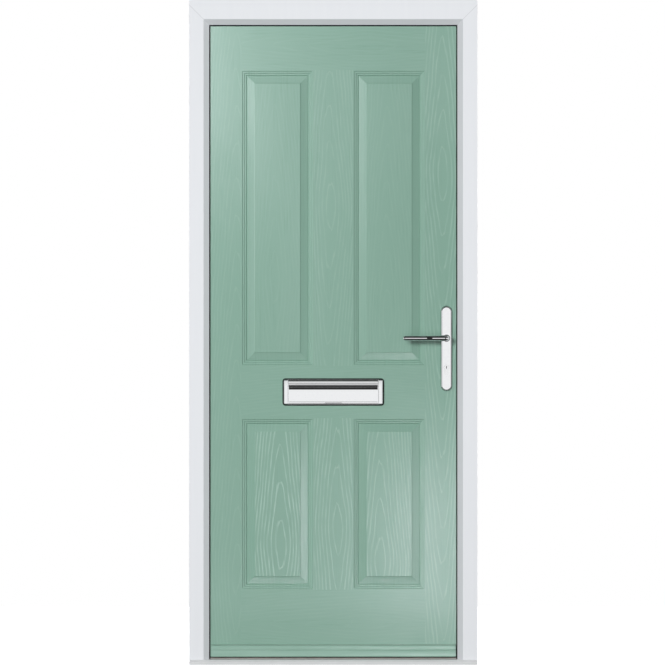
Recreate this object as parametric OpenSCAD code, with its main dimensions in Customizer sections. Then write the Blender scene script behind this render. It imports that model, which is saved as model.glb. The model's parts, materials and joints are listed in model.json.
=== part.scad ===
// Panelled front door in its frame, hung on the left as seen from outside and opening into the house.
// X runs to the right, Y into the house and Z up. The origin is under the middle of the threshold.

/* [Frame] */
// Overall width of the frame
frame_w = 910; // [880:1:960]
// Height of the welded frame's top above the floor
frame_h = 2084; // [2060:1:2200]
// Depth of the frame from outside to inside
frame_depth = 70; // [66:1:80]
// Width of the frame's flat outside face
frame_face = 45.5; // [40:0.5:52]
// Width of the sloped edge beside the face
frame_slope_w = 17; // [12:0.5:22]
// Depth of the sloped edge
frame_slope_d = 17; // [10:0.5:20]
// Thickness of the lip at the end of the sloped edge
lip_t = 8; // [6:0.5:10]
// Width of the frame from the wall to the rebate
rebate_w = 48; // [45:0.5:54]
// Height of the add-on strip over the head
head_extension_h = 16; // [10:1:40]
// Radius of the holes for the wall fixings
fixing_r = 4; // [3:0.5:5]
// Depth of the wall fixings behind the middle of the frame
fixing_y = 12; // [4:1:20]
// Distance from the frame's ends to the nearest wall fixings
fixing_end = 130; // [100:1:160]
// Number of wall fixings in a jamb
fixing_count = 4; // [2:1:6]

/* [Threshold] */
// Height of the threshold under the jambs
threshold_h = 16; // [12:0.5:25]
// How far the nose stands out of the frame
threshold_nose = 8; // [4:0.5:25]
// Height of the nose's upright front
threshold_front_h = 9; // [4:0.5:11]
// Height of the ridge under the leaf
threshold_ridge_h = 3; // [2:0.5:5]
// Width of the ridge
threshold_ridge_w = 22; // [14:1:30]
// Width of the seal on the ridge
threshold_seal_w = 10; // [6:1:12]
// Height of the seal on the ridge
threshold_seal_h = 3.7; // [2:0.1:6]

/* [Leaf] */
// Thickness of the leaf
leaf_t = 44; // [40:1:50]
// Gap between the leaf's edges and the frame
edge_gap = 4; // [3.6:0.1:6]
// Gap between the lip and the leaf's outside face
seal_gap = 3; // [2:0.1:5]
// Thickness of the moulded skins
skin_t = 2.2; // [1.6:0.1:3]
// Distance from the panels' moulding to the timbers round the core
timber_gap = 34; // [10:1:36]
// Distance from the panels' moulding to the timber behind the rail between the panels
mid_rail_gap = 10; // [4:1:20]

/* [Panels] */
// Width of the face between the leaf's edge and the panels
stile_face_w = 112; // [90:0.5:130]
// Width of the upright between the panels
muntin_w = 124.5; // [80:0.5:140]
// Height of the lower panels' foot above the floor
panel_foot_z = 235; // [200:1:260]
// Height of the lower panels
lower_panel_h = 543; // [480:1:560]
// Height of the rail between the panels
lock_rail_h = 165.5; // [120:0.5:200]
// Height of the face over the upper panels
top_face_h = 152.5; // [120:0.5:200]
// Width of the moulding round a panel
moulding_w = 17; // [14:0.5:24]
// Depth of the moulding
moulding_d = 7; // [5:0.5:10]
// Width of the moulding's small outer step
quirk_w = 3; // [2:0.5:4]
// Depth of the moulding's small outer step
quirk_d = 1.2; // [0.5:0.1:2]
// Width of the flat groove at the moulding's foot
groove_w = 4; // [2:0.5:6]
// Width of the slope from the groove to the raised field
panel_slope_w = 25; // [15:0.5:30]
// Depth of the raised field below the face
field_d = 1.5; // [0.5:0.1:2.5]
// Height of the small step round the raised field
field_step = 1; // [0.4:0.1:1.5]

/* [Weather bar] */
// Height of the weather bar
weather_bar_h = 39; // [30:1:60]
// How far the weather bar stands out of the leaf
weather_bar_d = 16; // [10:0.5:20]
// Gap between the weather bar's ends and the frame
weather_bar_gap = 6; // [3:0.5:20]
// Height of the weather bar's foot above the leaf's foot
weather_bar_lift = 1; // [0:0.5:5]
// Height of the weather bar's drip edge, as a share of its whole height
weather_bar_drip = 0.4; // [0.3:0.05:0.45]

/* [Seals] */
// Width of the frame's seals
seal_w = 10; // [6:0.5:12]
// How far the seals show past the lip
seal_show = 1; // [0.5:0.1:3]
// Clearance between a seal and the closed leaf
seal_clear = 0.3; // [0.2:0.05:0.5]

/* [Hinges] */
// Length of each hinge
hinge_h = 100; // [80:5:130]
// Number of knuckles in a hinge
hinge_knuckles = 5; // [3:2:7]
// Outer radius of the knuckles
knuckle_r = 7; // [6:0.5:8]
// Radius of the hinge pins
hinge_pin_r = 4; // [3:0.5:4.5]
// Radius of the heads on the hinge pins
hinge_head_r = 5.5; // [5:0.5:6]
// Height of the heads on the hinge pins
hinge_head_h = 3; // [2:0.5:5]
// Depth of the hinge plates along the leaf's edge
hinge_plate_d = 34; // [25:1:36]
// Slack between the two plates of a closed hinge
hinge_plate_gap = 0.4; // [0.3:0.05:0.8]
// Slack between neighbouring knuckles
knuckle_gap = 0.4; // [0.3:0.05:0.8]
// Clearance of the knuckles from the leaf's inside face
knuckle_stand = 2; // [1.5:0.1:4]
// Height of the bottom hinge's middle
bottom_hinge_z = 230; // [200:5:400]
// Distance from the leaf's top down to the top hinge's middle
top_hinge_drop = 182; // [140:1:300]

/* [Lock] */
// Distance from the leaf's edge to the spindle and the cylinder
backset = 45; // [40:0.5:50]
// Height of the spindle
spindle_z = 1031; // [980:1:1080]
// Distance from the spindle down to the cylinder
cylinder_drop = 92; // [85:0.5:96]
// Width of the faceplate
faceplate_w = 20; // [18:0.5:24]
// Thickness of the faceplate
faceplate_t = 3; // [2:0.1:4]
// How far the faceplate runs past the hooks
faceplate_end = 100; // [80:5:120]
// Thickness of the lock cases
case_t = 16; // [15:0.5:18]
// Depth of the centre case behind the faceplate
case_d = 66; // [64:0.5:68]
// Depth of the hook cases behind the faceplate
hook_case_d = 40; // [36:0.5:50]
// Height of the hook cases above their pivots, as a multiple of a hook's length
hook_case_rise = 2; // [1.5:0.1:2.5]
// Wall of the lock cases
case_wall = 1.5; // [1:0.1:2]
// How far the centre case runs below the cylinder
case_below = 42; // [34:1:46]
// How far the centre case runs above the spindle
case_above = 54; // [48:1:60]
// Height of the latch
latch_h = 26; // [20:1:30]
// Thickness of the latch
latch_t = 12; // [8:0.5:12.5]
// How far the latch stands out of the leaf's edge
latch_throw = 12; // [8:0.5:14]
// Radius of the follower that draws the latch
follower_r = 11; // [9:0.5:12]
// Length of the follower's arm
follower_arm = 18.7; // [17:0.1:20]
// Width of the follower's arm
follower_arm_w = 4; // [3:0.1:4.5]
// Length of the latch's tail past the follower's arm
latch_tail = 2; // [1:0.5:3]
// Height of the deadbolt
deadbolt_h = 28; // [20:1:32]
// Thickness of the deadbolt
deadbolt_t = 12; // [8:0.5:12.5]
// Length of the deadbolt
deadbolt_l = 34; // [28:1:40]
// How far the deadbolt is thrown
deadbolt_throw = 20; // [14:0.5:21]
// Height of the deadbolt's middle above the cylinder
deadbolt_rise = 45; // [40:1:48]
// Distance from the leaf's top down to the upper hook's pivot
upper_hook_drop = 332; // [280:1:430]
// Height of the lower hook's pivot
lower_hook_z = 330; // [310:5:420]
// Length of a hook from its pivot to its end
hook_reach = 36; // [30:0.5:38]
// Width of a hook
hook_w = 13; // [10:0.5:14]
// Thickness of a hook
hook_t = 8; // [6:0.5:10]
// Length of the barb at a hook's end
hook_barb = 6; // [3:0.5:7]
// Radius of the hooks' pivots
hook_pin_r = 3; // [2:0.5:4]
// Distance from the leaf's edge to the hooks' pivots
hook_inset = 18; // [17:0.5:20]
// Width of the drive bars
drive_bar_w = 12; // [8:0.5:14]
// Thickness of the drive bars
drive_bar_t = 2.5; // [2:0.1:3]
// How far the drive bars travel
drive_travel = 20; // [10:1:25]

/* [Keeps] */
// Width of the keeps
keep_w = 24; // [20:0.5:30]
// Thickness of the keeps
keep_t = 2; // [1.5:0.1:3]
// How far the keeps stand out of the rebate
keep_proud = 1; // [0.5:0.1:1.2]
// Length of a keep past its opening
keep_end = 20; // [12:1:30]
// Room round a bolt in its keep
keep_room = 1.5; // [1:0.1:3]

/* [Cylinder] */
// Radius of the cylinder's round head
cylinder_r = 8.5; // [8:0.1:9]
// Width of the cylinder's stem
cylinder_stem_w = 10; // [8:0.5:11]
// Height of the whole cylinder profile
cylinder_h = 33; // [30:0.5:33]
// How far the cylinder stands out of the backplates
cylinder_proud = 2.5; // [1:0.5:5]
// Radius of the plugs
plug_r = 6.5; // [5.5:0.1:7]
// Width of the keyway
keyway_w = 2.2; // [1.5:0.1:3]
// Height of the keyway
keyway_h = 8.5; // [6:0.5:9]
// Depth of the keyway
keyway_d = 24; // [15:1:24]
// Thickness of the cam
cam_t = 9; // [7:0.5:10]
// Length of the cam's nose from the cylinder's axis
cam_r = 15; // [13:0.5:15]

/* [Handle] */
// Width of the backplates
backplate_w = 33; // [30:0.5:40]
// Height of the backplates
backplate_h = 267; // [260:1:290]
// Thickness of the backplates
backplate_t = 9; // [7:0.5:12]
// Radius along the backplates' edges
backplate_edge_r = 4; // [2:0.5:5]
// Distance from the spindle down to the backplates' middle
backplate_drop = 32.5; // [25:0.5:40]
// Distance between the handle's bolts
handle_bolt_gap = 222; // [216:1:230]
// Radius of the handle's bolts
handle_bolt_r = 2.5; // [2:0.5:3]
// Radius of the heads of the handle's bolts
handle_head_r = 4.5; // [4:0.5:6]
// Height of the heads of the handle's bolts
handle_head_h = 3; // [2:0.5:4]
// Thickness of metal left in front of a blind hole
blind_wall = 2.5; // [1.5:0.5:3]
// Length of a lever from the spindle to its tip
lever_reach = 139; // [110:1:150]
// Radius of a lever at its boss
lever_boss_r = 10; // [9.5:0.5:12]
// Radius of a lever's grip beside the boss
lever_r = 8; // [7:0.5:9]
// Radius of a lever's tip
lever_tip_r = 7; // [5:0.5:8]
// Radius of a lever's neck
lever_neck_r = 9; // [8:0.5:9.5]
// Distance from the backplate's face to the middle of the grip
lever_stand = 38; // [30:1:50]
// Side of the square spindle
spindle_side = 8; // [7:0.5:8]
// How far the spindle reaches into each lever
spindle_grip = 20; // [12:1:24]

/* [Letterplate] */
// Width of the letterplate
letter_w = 312; // [306:1:330]
// Height of the letterplate
letter_h = 77; // [74:1:84]
// How far the letterplate stands out of the leaf
letter_t = 11; // [10:0.5:14]
// Thickness of the plate behind the flap
letter_base_t = 2.5; // [2:0.1:3]
// Width of the cheeks at the ends
letter_cheek_w = 14.5; // [10:0.5:18]
// Height of the rail over the flap
letter_top_rail_h = 16; // [12:0.5:17]
// Height of the rail under the flap
letter_bottom_rail_h = 8; // [7:0.5:10]
// Radius of the letterplate's corners
letter_corner_r = 3; // [1:0.5:4]
// Distance from the cheeks to the ends of the slot for letters
letter_slot_end = 15.5; // [12:0.5:20]
// Distance from the flap's barrel and foot to the slot for letters
letter_slot_edge = 3.2; // [2:0.1:5]
// Thickness of the flaps
flap_t = 3; // [2:0.1:3.5]
// Radius of the flaps' barrels
flap_barrel_r = 4; // [3:0.1:4]
// Radius of the flaps' pins
flap_pin_r = 1.5; // [1:0.1:2]
// How far the flaps' pins reach into the cheeks
flap_pin_seat = 4; // [2:0.5:6]
// Clearance round the flaps
flap_gap = 0.6; // [0.4:0.1:1]
// Width of the finger tab on the flaps
flap_tab_w = 60; // [40:1:80]
// Height of the finger tab on the flaps
flap_tab_h = 5; // [3:0.5:5]
// Wall of the sleeves
sleeve_t = 1.5; // [1:0.1:2]
// Slack between the two sleeves
sleeve_gap = 0.3; // [0.2:0.05:0.5]
// Overlap of the two sleeves
sleeve_overlap = 16; // [8:1:24]
// Radius of the letterplate's bolts
letter_bolt_r = 2; // [1.5:0.1:2.2]
// Radius of the heads of the letterplate's bolts
letter_head_r = 3.2; // [2.8:0.1:3.5]
// Height of the heads of the letterplate's bolts
letter_head_h = 2; // [1.5:0.1:3]

/* [Fits] */
// Radial clearance of a turning or sliding fit
run_clear = 0.05; // [0.02:0.01:0.1]
// Clearance round a piece that slides through a plate
slide_clear = 0.3; // [0.2:0.05:0.5]
// Clearance of a piece that is fixed in a hole
fixed_clear = 0.2; // [0.1:0.05:0.3]
// Room round a piece that passes through the leaf
leaf_room = 1; // [0.5:0.1:1.5]

/* [Hidden] */
$fn = 0;
$fa = 4;
$fs = 0.5;
// How far a cutting shape runs past what it cuts
over = 1;
// Number of flats along the moulding's round
moulding_flats = 6;

sight_w = frame_face + frame_slope_w;
front_y = -frame_depth / 2;
back_y = frame_depth / 2;
lip_y = front_y + frame_slope_d + lip_t;
fixing_gap = (frame_h - 2 * fixing_end) / (fixing_count - 1);

leaf_y = lip_y + seal_gap;
leaf_back_y = leaf_y + leaf_t;
leaf_mid_y = leaf_y + leaf_t / 2;
leaf_half_w = frame_w / 2 - rebate_w - edge_gap;
leaf_w = 2 * leaf_half_w;
leaf_z = threshold_h + threshold_ridge_h + threshold_seal_h + seal_clear;
leaf_top_z = frame_h - rebate_w - edge_gap;
leaf_h = leaf_top_z - leaf_z;

panel_w = (leaf_w - muntin_w) / 2 - stile_face_w;
panel_x = (muntin_w + panel_w) / 2;
lock_rail_z = panel_foot_z + lower_panel_h;
upper_panel_h = leaf_top_z - top_face_h - lock_rail_z - lock_rail_h;
stile_w = stile_face_w - timber_gap;
lower_panel_z = panel_foot_z + lower_panel_h / 2;
upper_panel_z = lock_rail_z + lock_rail_h + upper_panel_h / 2;
ovolo_w = moulding_w - quirk_w - groove_w;

hinge_x = -leaf_half_w - edge_gap / 2;
hinge_y = leaf_back_y + knuckle_stand + knuckle_r;
hinge_plate_t = (edge_gap - hinge_plate_gap) / 2;
hinge_plate_end_y = leaf_back_y + knuckle_stand / 2;
knuckle_h = hinge_h / hinge_knuckles;
top_hinge_z = leaf_top_z - top_hinge_drop;
middle_hinge_z = (bottom_hinge_z + top_hinge_z) / 2;

spindle_x = leaf_half_w - backset;
cylinder_z = spindle_z - cylinder_drop;
faceplate_x = leaf_half_w - faceplate_t;
case_z = cylinder_z - case_below;
case_top_z = spindle_z + case_above;
case_room_t = case_t - 2 * case_wall;
latch_z = spindle_z + follower_arm + follower_arm_w / 2 + run_clear;
deadbolt_z = cylinder_z + deadbolt_rise;
hook_x = leaf_half_w - hook_inset;
upper_hook_z = leaf_top_z - upper_hook_drop;
follower_bore_r = spindle_side / sqrt(2) + fixed_clear;

keep_x = leaf_half_w + edge_gap - keep_proud;
pocket_x = leaf_half_w + max(deadbolt_throw, latch_throw, hook_reach - hook_inset) + keep_room;

backplate_z = spindle_z - backplate_drop;
lever_y = leaf_y - backplate_t - lever_stand;

letter_half_w = letter_w / 2;
letter_z = lock_rail_z + lock_rail_h / 2;
flap_half_w = letter_half_w - letter_cheek_w - flap_gap;
flap_top_z = letter_z + letter_h / 2 - letter_top_rail_h;
flap_bottom_z = letter_z - letter_h / 2 + letter_bottom_rail_h;
flap_axis_z = flap_top_z - flap_barrel_r - flap_gap;
flap_axis_y = leaf_y - letter_t + flap_barrel_r;
letter_bolt_x = letter_half_w - letter_cheek_w / 2;
letter_slot_w = letter_w - 2 * (letter_cheek_w + letter_slot_end);
letter_slot_h = flap_axis_z - flap_barrel_r - flap_bottom_z - 2 * letter_slot_edge;
letter_slot_z = (flap_bottom_z + flap_axis_z - flap_barrel_r) / 2;
outer_sleeve_grow = 2 * sleeve_t + sleeve_gap;

white = "white";
green = "#91b1a2";
chrome = "gainsboro";
steel = "silver";
rubber = "#303030";

// A box given by two corners
module box(low, high) {
    translate(low) cube(high - low);
}

// A cylinder along Y from y0 to y1
module rod_y(r, x, z, y0, y1) {
    translate([x, y1, z]) rotate([90, 0, 0]) cylinder(r = r, h = y1 - y0);
}

// A cylinder along X from x0 to x1
module rod_x(r, y, z, x0, x1) {
    translate([x0, y, z]) rotate([0, 90, 0]) cylinder(r = r, h = x1 - x0);
}

// An outline in X and Z drawn out along Y from y0 to y1
module drawn_y(y0, y1) {
    translate([0, y1, 0]) rotate([90, 0, 0]) linear_extrude(y1 - y0) children();
}

// An outline in Y and Z drawn out along X from x0 to x1
module drawn_x(x0, x1) {
    translate([x0, 0, 0]) rotate([90, 0, 90]) linear_extrude(x1 - x0) children();
}

// The same piece on the inside of the leaf
module inside() {
    translate([0, 2 * leaf_mid_y, 0]) mirror([0, 1, 0]) children();
}

// Frame

// The frame's section: distance from the wall, then depth
module frame_section() {
    polygon([
        [0, front_y],
        [frame_face, front_y],
        [sight_w, front_y + frame_slope_d],
        [sight_w, lip_y],
        [rebate_w, lip_y],
        [rebate_w, back_y],
        [0, back_y]
    ]);
}

module jamb_blank() {
    intersection() {
        translate([-frame_w / 2, 0, threshold_h]) linear_extrude(frame_h - threshold_h) frame_section();
        drawn_y(front_y - over, back_y + over) polygon([
            [-frame_w / 2 - over, threshold_h - over],
            [-frame_w / 2 + sight_w + over, threshold_h - over],
            [-frame_w / 2 + sight_w + over, frame_h - sight_w - over],
            [-frame_w / 2 - over, frame_h + over]
        ]);
    }
}

module fixing_holes() {
    for (i = [0 : fixing_count - 1])
        rod_x(
            fixing_r, fixing_y, fixing_end + i * fixing_gap,
            -frame_w / 2 - over, -frame_w / 2 + rebate_w + over
        );
}

module hinge_jamb() {
    color(white) difference() {
        jamb_blank();
        fixing_holes();
    }
}

module lock_jamb() {
    color(white) difference() {
        mirror([1, 0, 0]) jamb_blank();
        mirror([1, 0, 0]) fixing_holes();
        keep_blanks(keep_x - over);
        bolt_openings(keep_room, keep_x - over, pocket_x, hook_barb);
    }
}

module frame_head() {
    color(white) intersection() {
        translate([-frame_w / 2, 0, frame_h]) rotate([0, 90, 0]) linear_extrude(frame_w) frame_section();
        drawn_y(front_y - over, back_y + over) polygon([
            [-frame_w / 2 - over, frame_h + over],
            [frame_w / 2 + over, frame_h + over],
            [frame_w / 2 - sight_w - over, frame_h - sight_w - over],
            [-frame_w / 2 + sight_w + over, frame_h - sight_w - over]
        ]);
    }
}

module head_extension() {
    color(white) box([-frame_w / 2, front_y, frame_h], [frame_w / 2, back_y, frame_h + head_extension_h]);
}

module threshold() {
    sight_half_w = frame_w / 2 - sight_w - slide_clear;
    color("lightgrey") union() {
        drawn_x(-frame_w / 2, frame_w / 2) polygon([
            [front_y - threshold_nose, 0],
            [front_y - threshold_nose, threshold_front_h],
            [front_y, threshold_h],
            [back_y, threshold_h],
            [back_y, 0]
        ]);
        drawn_x(-sight_half_w, sight_half_w) polygon([
            [leaf_mid_y - threshold_ridge_w / 2 - threshold_ridge_h, threshold_h],
            [leaf_mid_y - threshold_ridge_w / 2, threshold_h + threshold_ridge_h],
            [leaf_mid_y + threshold_ridge_w / 2, threshold_h + threshold_ridge_h],
            [leaf_mid_y + threshold_ridge_w / 2 + threshold_ridge_h, threshold_h]
        ]);
    }
}

module threshold_seal() {
    sight_half_w = frame_w / 2 - sight_w - slide_clear;
    low_z = threshold_h + threshold_ridge_h;
    color(rubber) drawn_x(-sight_half_w, sight_half_w) polygon([
        [leaf_mid_y - threshold_seal_w / 2, low_z],
        [leaf_mid_y - threshold_seal_w / 4, low_z + threshold_seal_h],
        [leaf_mid_y + threshold_seal_w / 4, low_z + threshold_seal_h],
        [leaf_mid_y + threshold_seal_w / 2, low_z]
    ]);
}

// A seal's upright length behind the hinge jamb's lip
module side_seal() {
    outer_x = -frame_w / 2 + sight_w + seal_show;
    top_z = frame_h - sight_w - seal_show;
    color(rubber) box([outer_x - seal_w, lip_y, threshold_h], [outer_x, leaf_y - seal_clear, top_z]);
}

module hinge_side_seal() {
    side_seal();
}

module lock_side_seal() {
    mirror([1, 0, 0]) side_seal();
}

module head_seal() {
    end_x = frame_w / 2 - sight_w - seal_show + seal_w;
    low_z = frame_h - sight_w - seal_show;
    color(rubber) box([-end_x, lip_y, low_z], [end_x, leaf_y - seal_clear, low_z + seal_w]);
}

// Bolts, keeps and faceplate

// The way of one bolt through the faceplate and into the frame
module bolt_way(t, z0, z1, room, x0, x1) {
    box([x0, leaf_mid_y - t / 2 - room, z0 - room], [x1, leaf_mid_y + t / 2 + room, z1 + room]);
}

// The ways of all bolts, deepened below the hooks for their barbs
module bolt_openings(room, x0, x1, barb) {
    bolt_way(latch_t, latch_z - latch_h / 2, latch_z + latch_h / 2, room, x0, x1);
    bolt_way(deadbolt_t, deadbolt_z - deadbolt_h / 2, deadbolt_z + deadbolt_h / 2, room, x0, x1);
    for (z = [lower_hook_z, upper_hook_z])
        bolt_way(hook_t, z - hook_w / 2 - barb, z + hook_reach, room, x0, x1);
}

// A keep's plate from its seat in the rebate out to x0
module keep_blank(z0, z1, x0) {
    box(
        [x0, leaf_mid_y - keep_w / 2, z0 - keep_end],
        [keep_x + keep_t, leaf_mid_y + keep_w / 2, z1 + keep_end]
    );
}

module centre_keep_blank(x0) {
    keep_blank(deadbolt_z - deadbolt_h / 2, latch_z + latch_h / 2, x0);
}

module hook_keep_blank(z, x0) {
    keep_blank(z - hook_w / 2, z + hook_reach, x0);
}

module keep_blanks(x0) {
    centre_keep_blank(x0);
    for (z = [lower_hook_z, upper_hook_z])
        hook_keep_blank(z, x0);
}

module cut_keep() {
    color(steel) difference() {
        children();
        bolt_openings(keep_room, keep_x - over, keep_x + keep_t + over, 0);
    }
}

module centre_keep() {
    cut_keep() centre_keep_blank(keep_x);
}

module upper_keep() {
    cut_keep() hook_keep_blank(upper_hook_z, keep_x);
}

module lower_keep() {
    cut_keep() hook_keep_blank(lower_hook_z, keep_x);
}

module faceplate_blank(x0, x1) {
    box(
        [x0, leaf_mid_y - faceplate_w / 2, lower_hook_z - faceplate_end],
        [x1, leaf_mid_y + faceplate_w / 2, upper_hook_z + faceplate_end]
    );
}

module lock_faceplate() {
    color(steel) difference() {
        faceplate_blank(faceplate_x, leaf_half_w);
        bolt_openings(slide_clear, faceplate_x - over, leaf_half_w + over, 0);
    }
}

// Hinges

module knuckles(first, z) {
    for (i = [first : 2 : hinge_knuckles - 1])
        translate([0, 0, z - hinge_h / 2 + i * knuckle_h + knuckle_gap / 2])
            children();
}

// One half of a hinge: its plate on the edge and its share of the knuckles
module hinge_half(plate_x, first, z) {
    barrel_h = knuckle_h - knuckle_gap;
    color(steel) difference() {
        union() {
            box(
                [plate_x, hinge_plate_end_y - hinge_plate_d, z - hinge_h / 2],
                [plate_x + hinge_plate_t, hinge_plate_end_y, z + hinge_h / 2]
            );
            knuckles(first, z) {
                box([plate_x, hinge_plate_end_y - over, 0], [plate_x + hinge_plate_t, hinge_y, barrel_h]);
                translate([hinge_x, hinge_y, 0]) cylinder(r = knuckle_r, h = barrel_h);
            }
        }
        translate([hinge_x, hinge_y, z - hinge_h / 2 - over])
            cylinder(r = hinge_pin_r + run_clear, h = hinge_h + 2 * over);
    }
}

module hinge_frame_leaf(z) {
    hinge_half(-leaf_half_w - edge_gap, 0, z);
}

module hinge_door_leaf(z) {
    hinge_half(-leaf_half_w - hinge_plate_t, 1, z);
}

module hinge_pin(z) {
    color(steel) translate([hinge_x, hinge_y, z - hinge_h / 2]) {
        cylinder(r = hinge_pin_r, h = hinge_h);
        translate([0, 0, -hinge_head_h + knuckle_gap / 2]) cylinder(r = hinge_head_r, h = hinge_head_h);
        translate([0, 0, hinge_h - knuckle_gap / 2]) cylinder(r = hinge_head_r, h = hinge_head_h);
    }
}

// Leaf

// The panel's moulding down to its groove: inset from the panel's edge, then depth
hollow_edge = concat(
    [[0, -over], [0, quirk_d]],
    [
        for (i = [0 : moulding_flats])
            let (a = 90 * i / moulding_flats)
            [quirk_w + ovolo_w * sin(a), moulding_d - (moulding_d - quirk_d) * cos(a)]
    ],
    [[quirk_w + ovolo_w + groove_w, moulding_d]]
);

// The raised field standing in the hollow
raised_edge = [
    [moulding_w, moulding_d + over],
    [moulding_w, moulding_d],
    [moulding_w + panel_slope_w, field_d + field_step],
    [moulding_w + panel_slope_w, field_d]
];

// An edge on the left and its mirror image on the right of a width
function both_edges(edge, w) = concat(
    [for (p = edge) [p[0] - w / 2, p[1]]],
    [for (i = [len(edge) - 1 : -1 : 0]) [w / 2 - edge[i][0], edge[i][1]]]
);

// The edge carried round a rectangle, mitred at the corners
module framed(edge, w, h) {
    intersection() {
        translate([0, 0, -h / 2 - over])
            linear_extrude(h + 2 * over) polygon(both_edges(edge, w));
        translate([w / 2 + over, 0, 0]) rotate([0, -90, 0])
            linear_extrude(w + 2 * over) polygon(both_edges(edge, h));
    }
}

module panel_hollow(w, h) {
    difference() {
        framed(hollow_edge, w, h);
        framed(raised_edge, w, h);
    }
}

module panel_hollows() {
    for (x = [-panel_x, panel_x]) {
        translate([x, 0, lower_panel_z]) panel_hollow(panel_w, lower_panel_h);
        translate([x, 0, upper_panel_z]) panel_hollow(panel_w, upper_panel_h);
    }
}

// The leaf's outer half, with its panelled face pushed in by a depth
module outer_half(depth, grow) {
    difference() {
        box(
            [-leaf_half_w - grow, leaf_y + depth, leaf_z - grow],
            [leaf_half_w + grow, leaf_mid_y + grow, leaf_top_z + grow]
        );
        translate([0, leaf_y + depth, 0]) panel_hollows();
    }
}

// The cylinder's outline, grown by a clearance
module cylinder_outline(grow) {
    stem_r = cylinder_stem_w / 2 + grow;
    foot_z = cylinder_z + cylinder_r - cylinder_h + cylinder_stem_w / 2;
    translate([spindle_x, cylinder_z]) circle(r = cylinder_r + grow);
    translate([spindle_x - stem_r, foot_z]) square([2 * stem_r, cylinder_z - foot_z]);
    translate([spindle_x, foot_z]) circle(r = stem_r);
}

module letter_way(grow, y0, y1) {
    half_w = letter_slot_w / 2 + grow;
    half_h = letter_slot_h / 2 + grow;
    box([-half_w, y0, letter_slot_z - half_h], [half_w, y1, letter_slot_z + half_h]);
}

// Everything that passes right through the leaf
module leaf_ways() {
    y0 = leaf_y - over;
    y1 = leaf_back_y + over;
    rod_y(follower_r + leaf_room, spindle_x, spindle_z, y0, y1);
    drawn_y(y0, y1) cylinder_outline(leaf_room);
    handle_bolt_ways(handle_bolt_r + leaf_room, y0, y1);
    letter_way(outer_sleeve_grow + leaf_room, y0, y1);
    letter_bolt_ways(letter_bolt_r + leaf_room, y0, y1);
}

module skin() {
    color(green) difference() {
        outer_half(0, 0);
        outer_half(skin_t, over);
        leaf_ways();
    }
}

module outer_skin() {
    skin();
}

module inner_skin() {
    inside() skin();
}

core_x = [-leaf_half_w + stile_w, leaf_half_w - stile_w];
core_y = [leaf_y + skin_t, leaf_back_y - skin_t];
core_z = [panel_foot_z - timber_gap, leaf_top_z - top_face_h + timber_gap];
mid_rail_z = [lock_rail_z + mid_rail_gap, lock_rail_z + lock_rail_h - mid_rail_gap];

module lock_pockets() {
    case_blank(case_d, case_z, case_top_z, 0);
    for (z = [lower_hook_z, upper_hook_z])
        hook_case_blank(z, 0);
}

// What fills the leaf between its stiles from z0 to z1
module filling(z0, z1) {
    difference() {
        box([core_x[0], core_y[0], z0], [core_x[1], core_y[1], z1]);
        translate([0, core_y[0], 0]) panel_hollows();
        inside() translate([0, core_y[0], 0]) panel_hollows();
        leaf_ways();
        lock_pockets();
    }
}

module upper_core() {
    color("khaki") filling(mid_rail_z[1], core_z[1]);
}

module lower_core() {
    color("khaki") filling(core_z[0], mid_rail_z[0]);
}

module mid_rail() {
    color("burlywood") filling(mid_rail_z[0], mid_rail_z[1]);
}

module hinge_stile() {
    color("burlywood") box([-leaf_half_w, core_y[0], leaf_z], [core_x[0], core_y[1], leaf_top_z]);
}

module lock_stile() {
    drive_x = faceplate_x - drive_bar_t - 2 * slide_clear;
    color("burlywood") difference() {
        box([core_x[1], core_y[0], leaf_z], [leaf_half_w, core_y[1], leaf_top_z]);
        leaf_ways();
        faceplate_blank(faceplate_x, leaf_half_w + over);
        box(
            [drive_x, leaf_mid_y - drive_bar_w / 2 - slide_clear, lower_hook_z],
            [leaf_half_w, leaf_mid_y + drive_bar_w / 2 + slide_clear, upper_hook_z]
        );
        lock_pockets();
    }
}

module top_rail() {
    color("burlywood") box([core_x[0], core_y[0], core_z[1]], [core_x[1], core_y[1], leaf_top_z]);
}

module bottom_rail() {
    color("burlywood") box([core_x[0], core_y[0], leaf_z], [core_x[1], core_y[1], core_z[0]]);
}

module weather_bar() {
    half_w = frame_w / 2 - sight_w - weather_bar_gap;
    low_z = leaf_z + weather_bar_lift;
    waist_z = low_z + weather_bar_h / 2;
    waist_y = leaf_y - weather_bar_d * 3 / 4;
    front = leaf_y - weather_bar_d;
    color(green) drawn_x(-half_w, half_w) polygon([
        [leaf_y, low_z],
        [leaf_y, low_z + weather_bar_h],
        [leaf_y - weather_bar_d / 4, low_z + weather_bar_h],
        [waist_y, waist_z],
        [front, low_z + weather_bar_h * weather_bar_drip],
        [front, low_z]
    ]);
}

// Lock

module case_blank(d, z0, z1, inset) {
    box(
        [faceplate_x - d + inset, leaf_mid_y - case_t / 2 + inset, z0 + inset],
        [faceplate_x, leaf_mid_y + case_t / 2 - inset, z1 - inset]
    );
}

module lock_case() {
    color(steel) difference() {
        case_blank(case_d, case_z, case_top_z, 0);
        translate([over, 0, 0]) case_blank(case_d + over, case_z, case_top_z, case_wall);
        rod_y(follower_r + run_clear, spindle_x, spindle_z, leaf_mid_y - case_t, leaf_mid_y + case_t);
        drawn_y(leaf_mid_y - case_t, leaf_mid_y + case_t) cylinder_outline(fixed_clear);
    }
}

module hook_case_blank(z, inset) {
    case_blank(hook_case_d, z - hook_reach, z + hook_case_rise * hook_reach, inset);
}

// An open-fronted case with the pin that its hook turns on
module hook_case(z) {
    color(steel) {
        difference() {
            hook_case_blank(z, 0);
            translate([over, 0, 0]) hook_case_blank(z, case_wall);
        }
        rod_y(hook_pin_r, hook_x, z, leaf_mid_y - case_t / 2, leaf_mid_y + case_t / 2);
    }
}

module upper_hook_case() {
    hook_case(upper_hook_z);
}

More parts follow.
